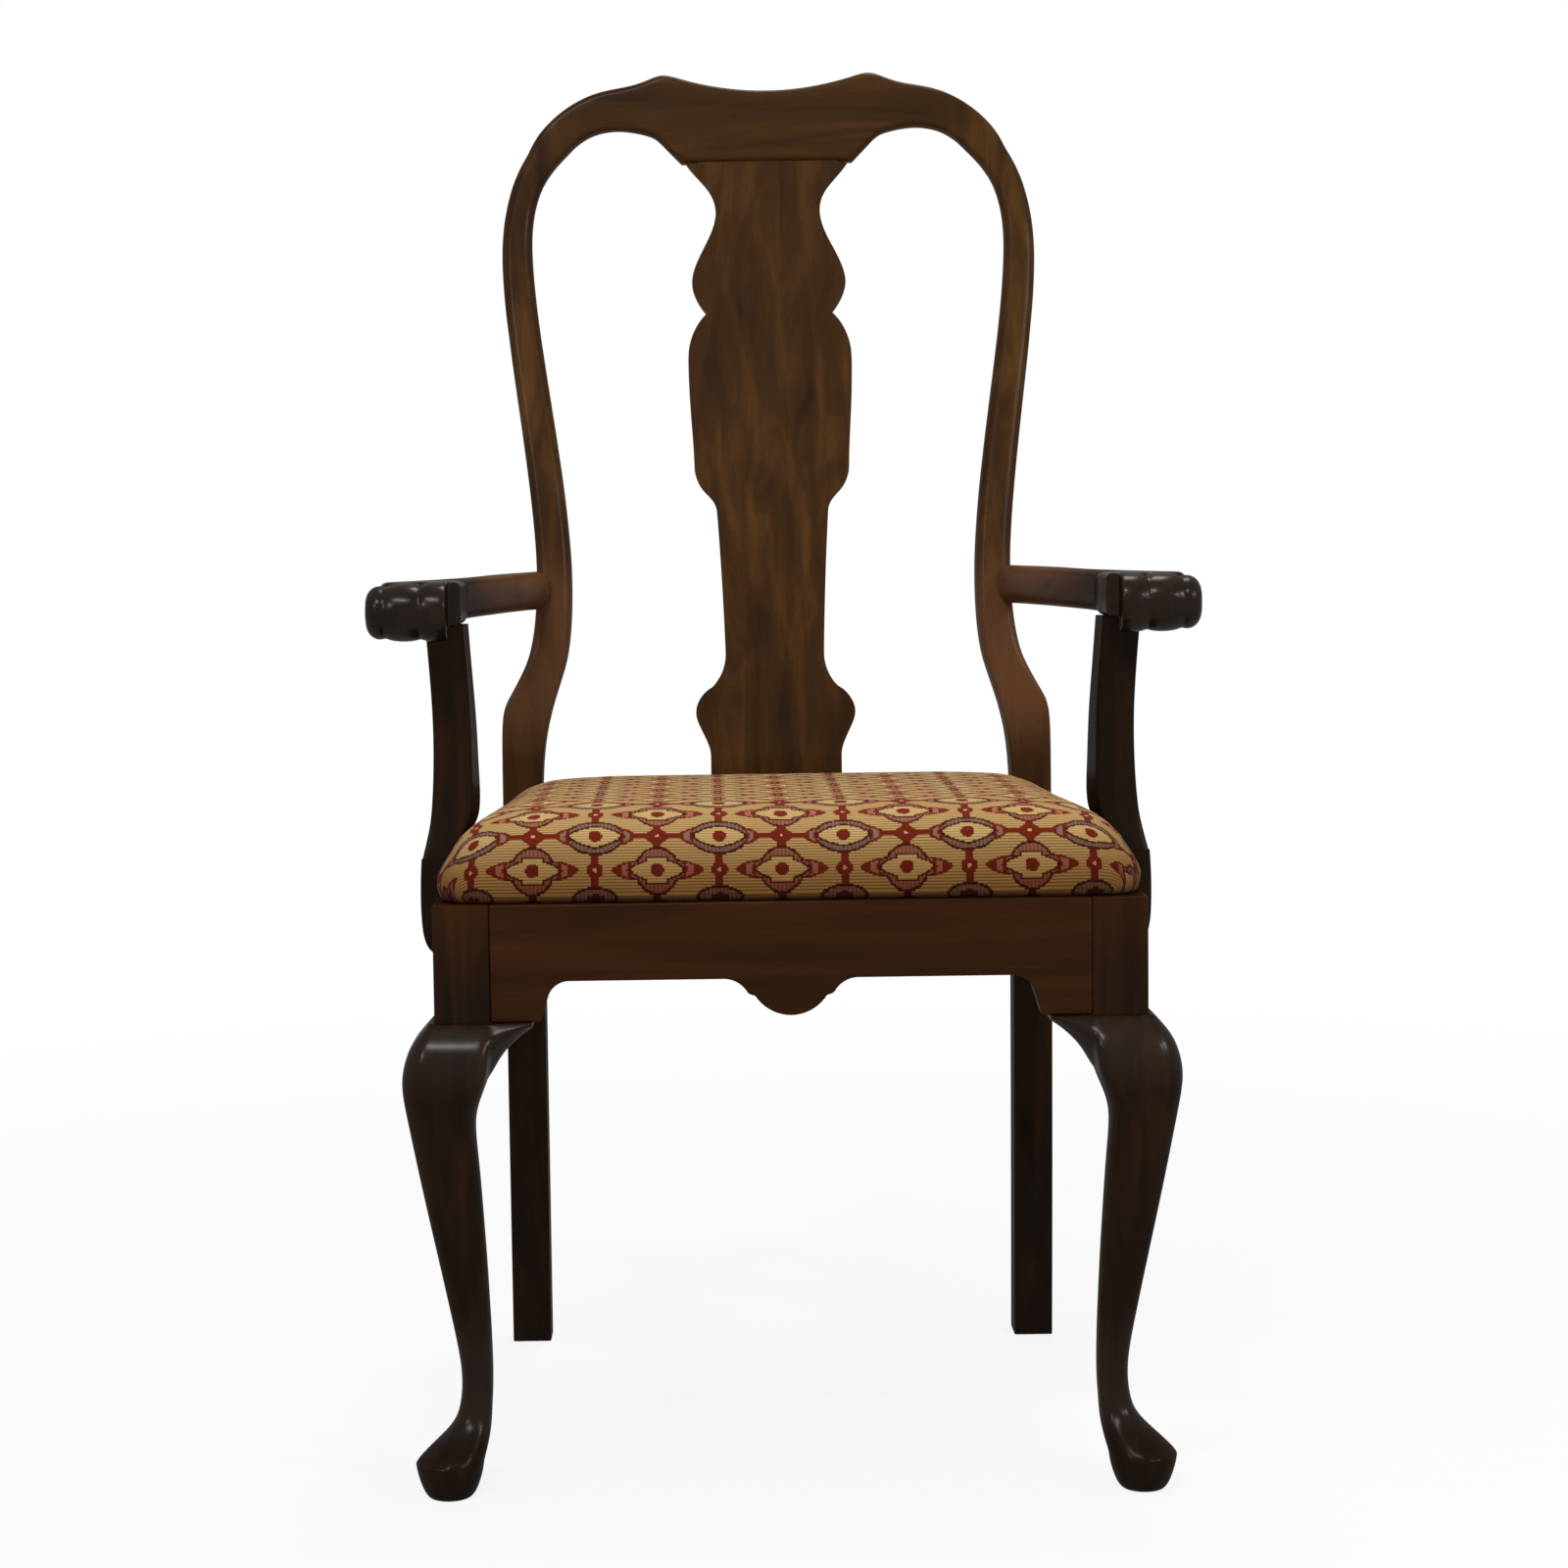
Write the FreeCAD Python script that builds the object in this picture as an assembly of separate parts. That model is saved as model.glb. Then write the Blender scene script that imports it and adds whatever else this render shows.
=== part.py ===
"""Queen Anne style dining armchair, one STEP file for each piece.

Millimetres. X to the right as seen from the front, Y to the back, Z up. While the
pieces are made, Y is 0 on the front face of the seat frame. At the end everything is
moved so that the origin is on the floor, under the middle of the bounding box.
Outlines hold a few stations, written as shares of the sizes that they follow, and a
smooth curve runs through them. The shaped pieces are ruled between many-sided rings.
"""
import FreeCAD, Part

import math
import os

from FreeCAD import Vector

# Seat frame
rail_top = 435.0
rail_height = 56.0
rail_thick = 22.0
front_width = 516.0
rear_width = 465.0
seat_depth = 397.0
post_side = 41.0
post_round = 1.5
tenon_length = 23.0
rear_tenon_length = 17.0
tenon_thick = 10.0
tenon_height = 40.0
rear_rail_thick = 34.0
rear_rail_reach = 8.0

# Shaped lower edge of the front rail
drop_height = 29.5
drop_tip_inset = 36.0
drop_lean = 9.0
drop_round = 16.0
pendant_half_width = 48.0
pendant_height = 27.0

# Front leg
knee_top = 349.5
knee_reach = 25.0
knee_ledge = 3.5
leg_bulk = 50.0
pad_height = 25.5
pad_diameter = 50.0
pad_base_diameter = 31.0
pad_reach = 20.4

# Knee bracket
bracket_length = 30.0
bracket_root = 6.0
bracket_thick = 21.0
bracket_height = 40.0
bracket_bulge = 14.0

# Rear leg, which runs up as the back stile
rear_leg_width = 33.0
rear_foot_spread = 2.0
rear_leg_depth = 36.0
rear_foot_kick = 33.0
corner_drop = 83.0
back_half_width = 230.5
stile_width = 30.0
stile_top_depth = 26.0
stile_round = 9.0
back_rake = 112.0

# Crest rail
back_height = 1096.0
crest_dip = 15.6
crest_shoulder_drop = 68.0
crest_foot_drop = 78.0
crest_arch_drop = 48.0
crest_peak_half_width = 87.0
crest_foot_half_width = 74.0
crest_top_depth = 22.0
crest_round = 6.0
dowel_diameter = 8.0
dowel_length = 34.0
dowel_spacing = 12.0
dowel_lean = 32.0

# Splat and its shoe
splat_thick = 12.0
splat_half_width = 70.4
splat_top_setback = 4.0
splat_foot_setback = 11.0
splat_tongue = 10.0
shoe_height = 14.0
shoe_length = 176.0
shoe_wall = 5.0
shoe_setback = 2.0
shoe_socket = 9.0

# Arm
arm_top = 666.0
arm_thick = 33.0
arm_front = 106.0
arm_hand_inner = 240.5
arm_hand_width = 67.5
arm_rise = 2.5
arm_end_outer = 214.0
arm_end_inner = 189.0
arm_round = 15.0
arm_hand_round = 5.0
roll_diameter = 45.0
roll_centre = 99.0
roll_overhang = 3.0
roll_setback = 10.0
arm_screw_length = 62.0
plug_diameter = 12.0
plug_depth = 8.0

# Arm support
support_front = 116.0
support_depth = 60.0
support_bottom = 381.0
support_ledge_height = 456.0
support_ledge = 4.0
support_thick = 25.0
support_lean = 14.0
support_top_depth = 32.0
support_sweep = 17.0
support_round = 3.0
support_tenon_diameter = 14.0
support_tenon_length = 18.0

# Seat cushion on its board
seat_side_inset = 2.5
seat_front_inset = 3.0
seat_back_gap = 2.0
seat_corner_round = 26.0
seat_crown = 68.0
cover_thick = 1.2
board_thick = 12.0
seat_wrap = 10.0
dust_cover_thick = 1.0
dust_cover_inset = 9.0

# Corner blocks and screws
block_leg = 64.0
block_height = 34.0
block_nose = 14.0
screw_diameter = 4.5
screw_head_diameter = 9.0
screw_head_height = 3.0
block_screw_bite = 12.0
seat_screw_length = 42.0
support_screw_length = 38.0

# Facets of a rounded corner, a small corner, a turned circle and a rod
corner_facets = 4
small_facets = 3
circle_facets = 24
rod_facets = 12

# Sizes that follow from the ones above
front_half = front_width / 2
rear_half = rear_width / 2
rail_bottom = rail_top - rail_height
back_span = back_height - rail_top
side_slope = (front_half - rear_half) / (seat_depth - post_side)
splay = math.atan(side_slope)
arm_bottom = arm_top - arm_thick
arm_hand_outer = arm_hand_inner + arm_hand_width
roll_end = arm_hand_outer + roll_overhang
roll_width = roll_end - arm_hand_inner - roll_setback
corner_height = arm_bottom - corner_drop
shoulder_height = back_height - crest_shoulder_drop
crest_foot_height = back_height - crest_foot_drop
crest_arch_height = back_height - crest_arch_drop
rear_rail_front = seat_depth - rear_rail_reach
rear_rail_back = rear_rail_front + rear_rail_thick
seat_base = rail_top + dust_cover_thick

# Share of a corner's distance from its facet's plane below which four points are flat
flat_share = 1e-9
# A radius just under half the width, for a side rounded all over
full_round_share = 0.49
# How far the seat is drawn in up to its crown, over its depth
seat_top_inset_share = 0.297
seat_top_inset = seat_depth * seat_top_inset_share
# Splat shoe: height of the nose, height and depth of the middle of the hollow
shoe_nose_share = 0.25
shoe_hollow_shares = (0.5, 0.75)
# Distance of the rear tenon from the rail's back, over the rail's thickness
rear_tenon_inset_share = 0.125

# Height share, share of the rake: the front face of the back above the seat
rake_shares = ((0, 0), (0.1, 0.02), (0.2, 0.08), (0.4, 0.31), (0.6, 0.58), (0.8, 0.82), (1, 1))
# Height share, share of the kick: the front face of the rear leg below the seat
kick_shares = ((0, 1), (0.35, 0.38), (0.7, 0.06), (1, 0))
# Sections of the rear leg from the floor to the corner
leg_ring_shares = (0, 0.12, 0.27, 0.45, 0.65, 0.79, 0.93, 1)
# Height share from corner to shoulder, outer edge and width over theirs, depth, rounding
stile_shares = (
    (0, 1.009, 1.4, 1.0, 0.28),
    (0.05, 0.951, 1.22, 0.96, 0.5),
    (0.1, 0.904, 1.09, 0.9, 0.75),
    (0.18, 0.881, 1.03, 0.82, 1),
    (0.28, 0.879, 0.99, 0.62, 1),
    (0.42, 0.908, 0.98, 0.42, 1),
    (0.56, 0.947, 0.95, 0.28, 1),
    (0.7, 0.985, 0.92, 0.17, 1),
    (0.8, 1.0, 0.885, 0.1, 1),
    (0.87, 0.993, 0.84, 0.06, 1),
    (0.93, 0.967, 0.86, 0.03, 1),
    (0.97, 0.935, 1.0, 0.01, 1),
    (1, 0.9, 1.18, 0, 1),
)
# Crest outline from shoulder to peak: top X and height, bottom X and height
crest_shares = (
    (0.87, 0.2, 0.722, 0.32),
    (0.82, 0.4, 0.694, 0.56),
    (0.762, 0.565, 0.664, 0.76),
    (0.69, 0.71, 0.63, 0.9),
    (0.617, 0.795, 0.59, 0.98),
    (0.547, 0.832, 0.551, 1),
    (0.491, 0.87, 0.5, 0.93),
    (0.447, 0.925, 0.453, 0.8),
    (0.416, 0.972, 0.417, 0.66),
    (0.378, 1, 0.382, 0.22),
)
# The saddle's sections, as shares of the splat's half width at the crest
saddle_shares = (1, 0.8, 0.55, 0.28, 0)
# Half splat: height share from the rail to the crest, half width share
splat_foot_shares = ((0.125, 0.79), (0.163, 0.885), (0.193, 0.962), (0.215, 0.885), (0.2275, 0.755))
splat_quirk_shares = ((0.2275, 0.755), (0.236, 0.7))
splat_flare_shares = ((0.236, 0.7), (0.252, 0.63), (0.275, 0.594))
splat_neck_shares = ((0.275, 0.594), (0.401, 0.635), (0.484, 0.676))
splat_step_shares = ((0.484, 0.676), (0.502, 0.745), (0.516, 0.85), (0.531, 0.916), (0.549, 0.942))
splat_vase_shares = (
    (0.549, 0.942),
    (0.631, 0.98),
    (0.695, 1),
    (0.726, 0.987),
    (0.755, 0.902),
    (0.775, 0.774),
)
splat_head_shares = (
    (0.775, 0.774),
    (0.796, 0.888),
    (0.82, 0.942),
    (0.849, 0.889),
    (0.878, 0.771),
    (0.907, 0.666),
    (0.93, 0.64),
    (0.952, 0.69),
    (0.966, 0.767),
    (0.981, 0.878),
    (1, 1),
)
splat_tables = (
    splat_foot_shares,
    splat_quirk_shares,
    splat_flare_shares,
    splat_neck_shares,
    splat_step_shares,
    splat_vase_shares,
    splat_head_shares,
)
# The flat facets of the bent splat board
slab_shares = (0, 0.12, 0.24, 0.36, 0.48, 0.6, 0.72, 0.84, 1)
# Pendant: width share and depth share of the cove, the notch and the round belly
pendant_shares = ((1, 0), (0.78, 0.13), (0.646, 0.407), (0.54, 0.47), (0.375, 0.78))
# Knee to pad: height share, outward reach share, width share of the bulk, roundings
leg_shares = (
    (1, 0.14, 0.89, 0.11, 0.09, 0.05),
    (0.976, 0.45, 1.046, 0.2, 0.09, 0.05),
    (0.947, 0.74, 1.188, 0.26, 0.1, 0.05),
    (0.9, 0.94, 1.27, 0.3, 0.14, 0.06),
    (0.857, 0.98, 1.22, 0.34, 0.22, 0.14),
    (0.811, 0.89, 1.04, 0.38, 0.32, 0.26),
    (0.767, 0.79, 0.945, 0.4, 0.38, 0.34),
    (0.68, 0.6, 0.905, 0.4, 0.4, 0.4),
    (0.589, 0.39, 0.832, 0.4, 0.4, 0.4),
    (0.457, 0.065, 0.712, 0.4, 0.4, 0.4),
    (0.368, -0.15, 0.624, 0.4, 0.4, 0.4),
    (0.28, -0.36, 0.538, 0.4, 0.4, 0.4),
    (0.212, -0.5, 0.476, 0.42, 0.42, 0.42),
    (0.16, -0.53, 0.458, 0.44, 0.44, 0.44),
    (0.115, -0.46, 0.474, 0.45, 0.45, 0.45),
    (0.084, -0.33, 0.532, 0.46, 0.46, 0.46),
    (0.057, 0, 0.68, 0.47, 0.47, 0.47),
    (0.034, 0.37, 0.836, 0.48, 0.48, 0.48),
    (0.011, 0.71, 0.968, 0.49, 0.49, 0.49),
)
# Pad foot below its rim: height share, radius share between base and rim
pad_shares = ((1, 1), (0.84, 0.98), (0.5, 0.75), (0.18, 0.42), (0.05, 0.16), (0, 0))
# Knee bracket from the leg to its tip: length, height and bulge shares
bracket_shares = (
    (0, 1.12, 1.05),
    (0.17, 0.93, 0.95),
    (0.28, 0.74, 0.84),
    (0.43, 0.54, 0.64),
    (0.64, 0.34, 0.42),
    (0.83, 0.2, 0.22),
    (1, 0.1, 0.05),
)
bracket_belly_share = 0.4
bracket_sole_share = 0.1
bracket_round_shares = (0.02, 0.03, 0.2, 0.08, 0.02)
# Arm from the hand to the stile: length share, inner and outer edge, rounding, rise
arm_shares = (
    (0, 0, 0.93, 0.1, 0),
    (0.07, 0, 0.95, 0.05, 0),
    (0.15, 0.01, 0.86, 0.08, 0),
    (0.22, -0.07, 0.77, 0.3, 0.05),
    (0.3, -0.05, 0.66, 0.65, 0.15),
    (0.42, 0.13, 0.53, 0.95, 0.35),
    (0.57, 0.36, 0.41, 1, 0.6),
    (0.72, 0.6, 0.29, 1, 0.8),
    (0.86, 0.84, 0.14, 1, 0.95),
    (1, 1.06, -0.03, 1, 1),
)
# Outer edge of the hand over the scroll, and the station that the arm's screw points at
arm_nose_share = 0.86
arm_screw_share = 0.8
# Scroll from its outer end: width share, radius share of its three lobes
roll_shares = (
    (0, 0.5),
    (0.02, 0.66),
    (0.06, 0.8),
    (0.12, 0.89),
    (0.175, 0.905),
    (0.215, 0.88),
    (0.233, 0.845),
    (0.25, 0.885),
    (0.33, 0.955),
    (0.45, 0.985),
    (0.57, 0.97),
    (0.645, 0.925),
    (0.667, 0.885),
    (0.69, 0.93),
    (0.76, 0.985),
    (0.88, 1),
    (0.97, 0.98),
    (1, 0.94),
)
support_screw_shares = (0.27, 0.73)
# Arm support above its ledge: height, sweep, depth, inner and outer face shares
support_shares = (
    (0, 0, 1, 0.05, 0.94),
    (0.08, 0.25, 0.93, 0.42, 0.82),
    (0.17, 0.5, 0.8, 1, 0.71),
    (0.36, 0.85, 0.45, 1, 0.65),
    (0.58, 1, 0.15, 0.95, 0.65),
    (0.8, 0.65, 0, 0.86, 0.69),
    (1, 0.1, 0, 0.8, 0.73),
)
# Lower block of the support: height share, end inset share, thickness share
support_block_shares = (
    (0, 0.15, 0.56),
    (0.07, 0.05, 0.8),
    (0.2, 0, 0.94),
    (0.42, 0, 1),
    (0.75, 0, 1),
    (1, 0, 0.95),
)
seat_round_share = 0.45
# Cushion: height share of the crown, inset share
cushion_shares = (
    (0, 0.055),
    (0.07, 0.02),
    (0.22, 0),
    (0.42, 0.02),
    (0.62, 0.075),
    (0.79, 0.18),
    (0.91, 0.37),
    (0.975, 0.66),
    (1, 1),
)


def curve_at(table, share):
    """The values of a station table at a share of its length, on a smooth curve."""
    rows = sorted(table)
    last = len(rows) - 1
    i = 0
    while i < last - 1 and share > rows[i + 1][0]:
        i += 1
    span = rows[i + 1][0] - rows[i][0]
    t = (share - rows[i][0]) / span

    def slope(k, column):
        low = max(k - 1, 0)
        high = min(k + 1, last)
        return (rows[high][column] - rows[low][column]) / (rows[high][0] - rows[low][0])

    values = []
    for column in range(1, len(rows[0])):
        a = rows[i][column]
        b = rows[i + 1][column]
        start = slope(i, column) * span
        end = slope(i + 1, column) * span
        cubic = 2 * a - 2 * b + start + end
        square = 3 * b - 3 * a - 2 * start - end
        values.append(a + t * (start + t * (square + t * cubic)))
    return values


def along(table, between):
    """Shares at every station of a table, with some steps between each two."""
    knots = sorted(row[0] for row in table)
    shares = [knots[0]]
    for low, high in zip(knots, knots[1:]):
        shares += [low + (high - low) * (k + 1) / (between + 1) for k in range(between + 1)]
    return shares


def ring(corners, radii, facets=corner_facets):
    """The points of an outline with each corner rounded in facets."""
    points = []
    for i, (corner, radius) in enumerate(zip(corners, radii)):
        before = (corners[i - 1] - corner).normalize()
        after = (corners[(i + 1) % len(corners)] - corner).normalize()
        half = before.getAngle(after) / 2
        centre = corner + (before + after).normalize() * (radius / math.sin(half))
        start = corner + before * (radius / math.tan(half)) - centre
        turn = math.degrees(math.pi - 2 * half)
        axis = before.cross(after)
        for k in range(facets + 1):
            step = FreeCAD.Rotation(axis, -turn * k / facets)
            points.append(centre + step.multVec(start))
    return points


def flat_ring(x0, x1, y0, y1, z, radii):
    """A level ring between four sides, radii from (x0, y0) round by (x1, y0)."""
    corners = [Vector(x0, y0, z), Vector(x1, y0, z), Vector(x1, y1, z), Vector(x0, y1, z)]
    return ring(corners, radii)


def circle_ring(centre, axis, radius, facets=circle_facets):
    """The points of a many-sided circle about an axis."""
    side = axis.cross(Vector(0, 0, 1))
    if side.Length < axis.Length / 2:
        side = Vector(1, 0, 0)
    side = side.normalize() * radius
    points = []
    for k in range(facets):
        points.append(centre + FreeCAD.Rotation(axis, 360 * k / facets).multVec(side))
    return points


def flat_face(points):
    return Part.Face(Part.makePolygon(points + points[:1]))


def skin(rings):
    """A solid ruled with flat facets from each ring of points to the next."""
    faces = [flat_face(rings[0]), flat_face(rings[-1])]
    for low, high in zip(rings, rings[1:]):
        for i in range(len(low)):
            a, b, c, d = low[i - 1], low[i], high[i], high[i - 1]
            normal = (b - a).cross(d - a).normalize()
            if abs(normal.dot(c - a)) < (c - a).Length * flat_share:
                faces.append(flat_face([a, b, c, d]))
            else:
                faces.append(flat_face([a, b, c]))
                faces.append(flat_face([a, c, d]))
    solid = Part.Solid(Part.Shell(faces))
    if solid.Volume < 0:
        solid.reverse()
    return solid


def block(x0, x1, y0, y1, z0, z1):
    return Part.makeBox(x1 - x0, y1 - y0, z1 - z0, Vector(x0, y0, z0))


def rod(start, direction, diameter, length):
    """A many-sided round bar from a point along a direction."""
    ends = (start, start + direction * (length / direction.Length))
    return skin([circle_ring(end, direction, diameter / 2, rod_facets) for end in ends])


def curve_edge(points):
    """A straight edge through two points, or a smooth one through more."""
    if len(points) == 2:
        return Part.makeLine(*points)
    curve = Part.BSplineCurve()
    curve.interpolate(points)
    return curve.toShape()


def prism(edges, way):
    return Part.Face(Part.Wire(Part.__sortEdges__(edges))).extrude(way)


def polygon_prism(points, way):
    return flat_face(points).extrude(way)


def mirrored(shape):
    return shape.mirror(Vector(0, 0, 0), Vector(1, 0, 0))


def one_solid(shape):
    return max(shape.removeSplitter().Solids, key=lambda solid: solid.Volume)


def screw(head, way, length):
    """A countersunk screw from the middle of its head's face."""
    sections = (
        (0, screw_head_diameter),
        (screw_head_height, screw_diameter),
        (length, screw_diameter),
    )
    way = way / way.Length
    return skin([circle_ring(head + way * far, way, across / 2, rod_facets) for far, across in sections])


def back_front(z):
    """Front face of the back at a height above the seat rail."""
    if z <= rail_top:
        return seat_depth + rear_foot_kick * curve_at(kick_shares, z / rail_top)[0]
    return seat_depth + back_rake * curve_at(rake_shares, (z - rail_top) / back_span)[0]


def stile_at(share):
    """Inner edge, outer edge, depth and rounding of the stile from corner to shoulder."""
    outer, width, depth, rounding = curve_at(stile_shares, share)
    x1 = outer * back_half_width
    x0 = x1 - width * stile_width
    deep = stile_top_depth + (rear_leg_depth - stile_top_depth) * depth
    return x0, x1, deep, rounding * stile_round


def side_rail_outer(y):
    """X of the side rail's outer face."""
    return front_half - (y - post_side) * side_slope


def rear_leg():
    """Square leg kicked back at the foot, and the raked, rounded stile above it."""
    x0, x1, deep, rounding = stile_at(0)
    rings = []
    for share in leg_ring_shares:
        z = corner_height * share
        y = back_front(z)
        spread = rear_foot_spread * curve_at(kick_shares, min(z / rail_top, 1))[0]
        outer = x1 + spread
        inner = outer - rear_leg_width if share < 1 else x0
        rings.append(flat_ring(inner, outer, y, y + rear_leg_depth, z, [rounding] * 4))
    for share in along(stile_shares, 1)[1:]:
        x0, x1, deep, rounding = stile_at(share)
        z = corner_height + (shoulder_height - corner_height) * share
        y = back_front(z)
        rings.append(flat_ring(x0, x1, y, y + deep, z, [rounding] * 4))
    return skin(rings)


def back_depth(z):
    """Front to back depth of the crest at a height."""
    share = (z - shoulder_height) / (back_height - shoulder_height)
    return stile_top_depth + (crest_top_depth - stile_top_depth) * share


def crest_ring(bottom_x, bottom_z, top_x, top_z, rounding):
    """A section across the crest, leaning back with the rake."""
    corners = []
    for x, z in ((bottom_x, bottom_z), (top_x, top_z)):
        corners.append(Vector(x, back_front(z), z))
    for x, z in ((top_x, top_z), (bottom_x, bottom_z)):
        corners.append(Vector(x, back_front(z) + back_depth(z), z))
    return ring(corners, [rounding] * 4)


def crest_rail():
    """Crest in one ruled piece, from shoulder to shoulder through its saddle."""
    half = [(stile_at(1)[0], shoulder_height, stile_at(1)[1], shoulder_height, stile_round)]
    for top_x, top_z, bottom_x, bottom_z in crest_shares:
        half.append((
            bottom_x * back_half_width,
            shoulder_height + bottom_z * (crest_arch_height - shoulder_height),
            top_x * back_half_width,
            shoulder_height + top_z * (back_height - shoulder_height),
            crest_round,
        ))
    for share in saddle_shares:
        x = share * crest_foot_half_width
        top = back_height - crest_dip * (1 - (x / crest_peak_half_width) ** 2)
        half.append((x, crest_foot_height, x, top, crest_round))
    whole = half + [(-bx, bz, -tx, tz, r) for bx, bz, tx, tz, r in half[-2::-1]]
    return skin([crest_ring(*row) for row in whole])


def splat_slab():
    """A bent board with the splat's thickness, following the rake."""
    foot = rail_top + shoe_height - shoe_socket
    head = crest_foot_height + splat_tongue
    line = []
    for share in slab_shares:
        z = foot + (head - foot) * share
        rise = (z - rail_top) / (crest_foot_height - rail_top)
        setback = splat_foot_setback + (splat_top_setback - splat_foot_setback) * rise
        line.append(Vector(-back_half_width, back_front(z) + setback, z))
    back = [point + Vector(0, splat_thick, 0) for point in reversed(line)]
    return polygon_prism(line + back, Vector(2 * back_half_width, 0, 0))


def splat():
    """Vase shaped splat with a tongue at each end."""
    span = crest_foot_height - rail_top

    def point(height, width, side=1):
        return Vector(side * width * splat_half_width, 0, rail_top + height * span)

    edges = []
    for side in (1, -1):
        for table in splat_tables:
            edges.append(curve_edge([point(h, w, side) for h, w in table]))
    foot_height, foot_width = splat_tables[0][0]
    head_width = splat_tables[-1][-1][1]
    foot_x = foot_width * splat_half_width
    foot_z = rail_top + foot_height * span
    bottom = rail_top + shoe_height - shoe_socket
    corners = [
        Vector(foot_x, 0, foot_z),
        Vector(foot_x, 0, bottom),
        Vector(-foot_x, 0, bottom),
        Vector(-foot_x, 0, foot_z),
    ]
    edges += [curve_edge(pair) for pair in zip(corners, corners[1:])]
    edges.append(curve_edge([point(1, head_width, -1), point(1, head_width)]))
    depth = seat_depth + back_rake + stile_top_depth
    blank = prism(edges, Vector(0, depth, 0))
    tongue_half = head_width * splat_half_width - splat_tongue
    top = crest_foot_height + splat_tongue
    tongue = block(-tongue_half, tongue_half, 0, depth, crest_foot_height - splat_tongue, top)
    return one_solid(blank.fuse(tongue).common(splat_slab()))


def splat_shoe():
    """Shoe with a hollow front, on the rear rail behind the seat."""
    front = seat_depth + shoe_setback
    back = rear_rail_back
    top = rail_top + shoe_height
    lip = splat_foot_setback - shoe_setback - shoe_wall
    line = [
        Vector(0, front, rail_top),
        Vector(0, back, rail_top),
        Vector(0, back, top),
        Vector(0, front + lip, top),
    ]
    nose = Vector(0, front, rail_top + shoe_height * shoe_nose_share)
    hollow_height, hollow_depth = shoe_hollow_shares
    hollow = Vector(0, front + lip * hollow_depth, rail_top + shoe_height * hollow_height)
    edges = [curve_edge(pair) for pair in zip(line, line[1:])]
    edges.append(Part.Arc(line[-1], hollow, nose).toShape())
    edges.append(curve_edge([nose, line[0]]))
    shape = prism(edges, Vector(shoe_length, 0, 0))
    shape.translate(Vector(-shoe_length / 2, 0, 0))
    return shape


def front_leg():
    """Square post, knee, ankle and pad in one piece."""
    low = pad_height
    rings = []
    for height, radius in pad_shares:
        across = pad_base_diameter + (pad_diameter - pad_base_diameter) * radius
        inset = (pad_diameter - across) / 2
        x1 = front_half + pad_reach - inset
        y0 = inset - pad_reach
        r = across * full_round_share
        rings.append(flat_ring(x1 - across, x1, y0, y0 + across, low * height, [r] * 4))
    rings.reverse()
    for height, reach, bulk, outer, side, inner in reversed(leg_shares):
        across = bulk * leg_bulk
        x1 = front_half + reach * knee_reach
        y0 = -reach * knee_reach
        z = low + (knee_top - low) * height
        radii = [side * across, outer * across, side * across, inner * across]
        rings.append(flat_ring(x1 - across, x1, y0, y0 + across, z, radii))
    x0 = front_half - post_side
    post = [flat_ring(x0, front_half, 0, post_side, z, [post_round] * 4) for z in (knee_top, rail_top)]
    return skin(rings).fuse(skin(post)).removeSplitter()


def knee_bracket(place):
    """Bracket from inside the knee along the rail; place maps along, out and height."""
    rings = []
    for along_share, height_share, bulge_share in bracket_shares:
        along_rail = along_share * (bracket_length + bracket_root) - bracket_root
        tall = height_share * bracket_height
        bulge = knee_ledge + (bracket_bulge - knee_ledge) * bulge_share
        bottom = knee_top - tall
        corners = [
            place(along_rail, -bracket_thick, knee_top),
            place(along_rail, knee_ledge, knee_top),
            place(along_rail, bulge, knee_top - tall * bracket_belly_share),
            place(along_rail, -bracket_thick * bracket_sole_share, bottom),
            place(along_rail, -bracket_thick, bottom),
        ]
        rings.append(ring(corners, [tall * share for share in bracket_round_shares], small_facets))
    return skin(rings)


def front_place(along_rail, out, z):
    return Vector(front_half - post_side - along_rail, -out, z)


def side_place(along_rail, out, z):
    return Vector(front_half + out - along_rail * side_slope, post_side + along_rail, z)


def drop_points():
    """Lower edge of a rail from the post inwards: distance from the post and height."""
    drop = rail_bottom - drop_height
    lean_end = drop_tip_inset + drop_lean
    step = math.hypot(drop_lean, drop_height)
    back = drop_round * math.tan(math.acos(drop_lean / step) / 2)
    start = Vector(lean_end - drop_lean * back / step, rail_bottom - drop_height * back / step, 0)
    end = Vector(lean_end + back, rail_bottom, 0)
    centre = Vector(end.x, end.y - drop_round, 0)
    middle = (start + end) / 2 - centre
    middle = centre + middle.normalize() * drop_round
    return Vector(0, drop, 0), Vector(drop_tip_inset, drop, 0), start, middle, end


def drop_edges(place):
    """The drop at a rail's end and its rounded inner corner, as edges."""
    post, tip, start, middle, end = [place(p.x, 0, p.y) for p in drop_points()]
    arc = Part.Arc(start, middle, end).toShape()
    return [curve_edge([post, tip]), curve_edge([tip, start]), arc], end


def pendant_edges():
    """Half of the pendant under the middle of the front rail, right side."""
    low = rail_bottom - pendant_height
    points = []
    for x_share, z_share in pendant_shares:
        points.append(Vector(x_share * pendant_half_width, 0, rail_bottom - z_share * pendant_height))
    edge, cove_mid, cove_end, notch, belly = points
    return [
        Part.Arc(edge, cove_mid, cove_end).toShape(),
        curve_edge([cove_end, notch]),
        Part.Arc(notch, belly, Vector(0, 0, low)).toShape(),
    ], edge


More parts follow.
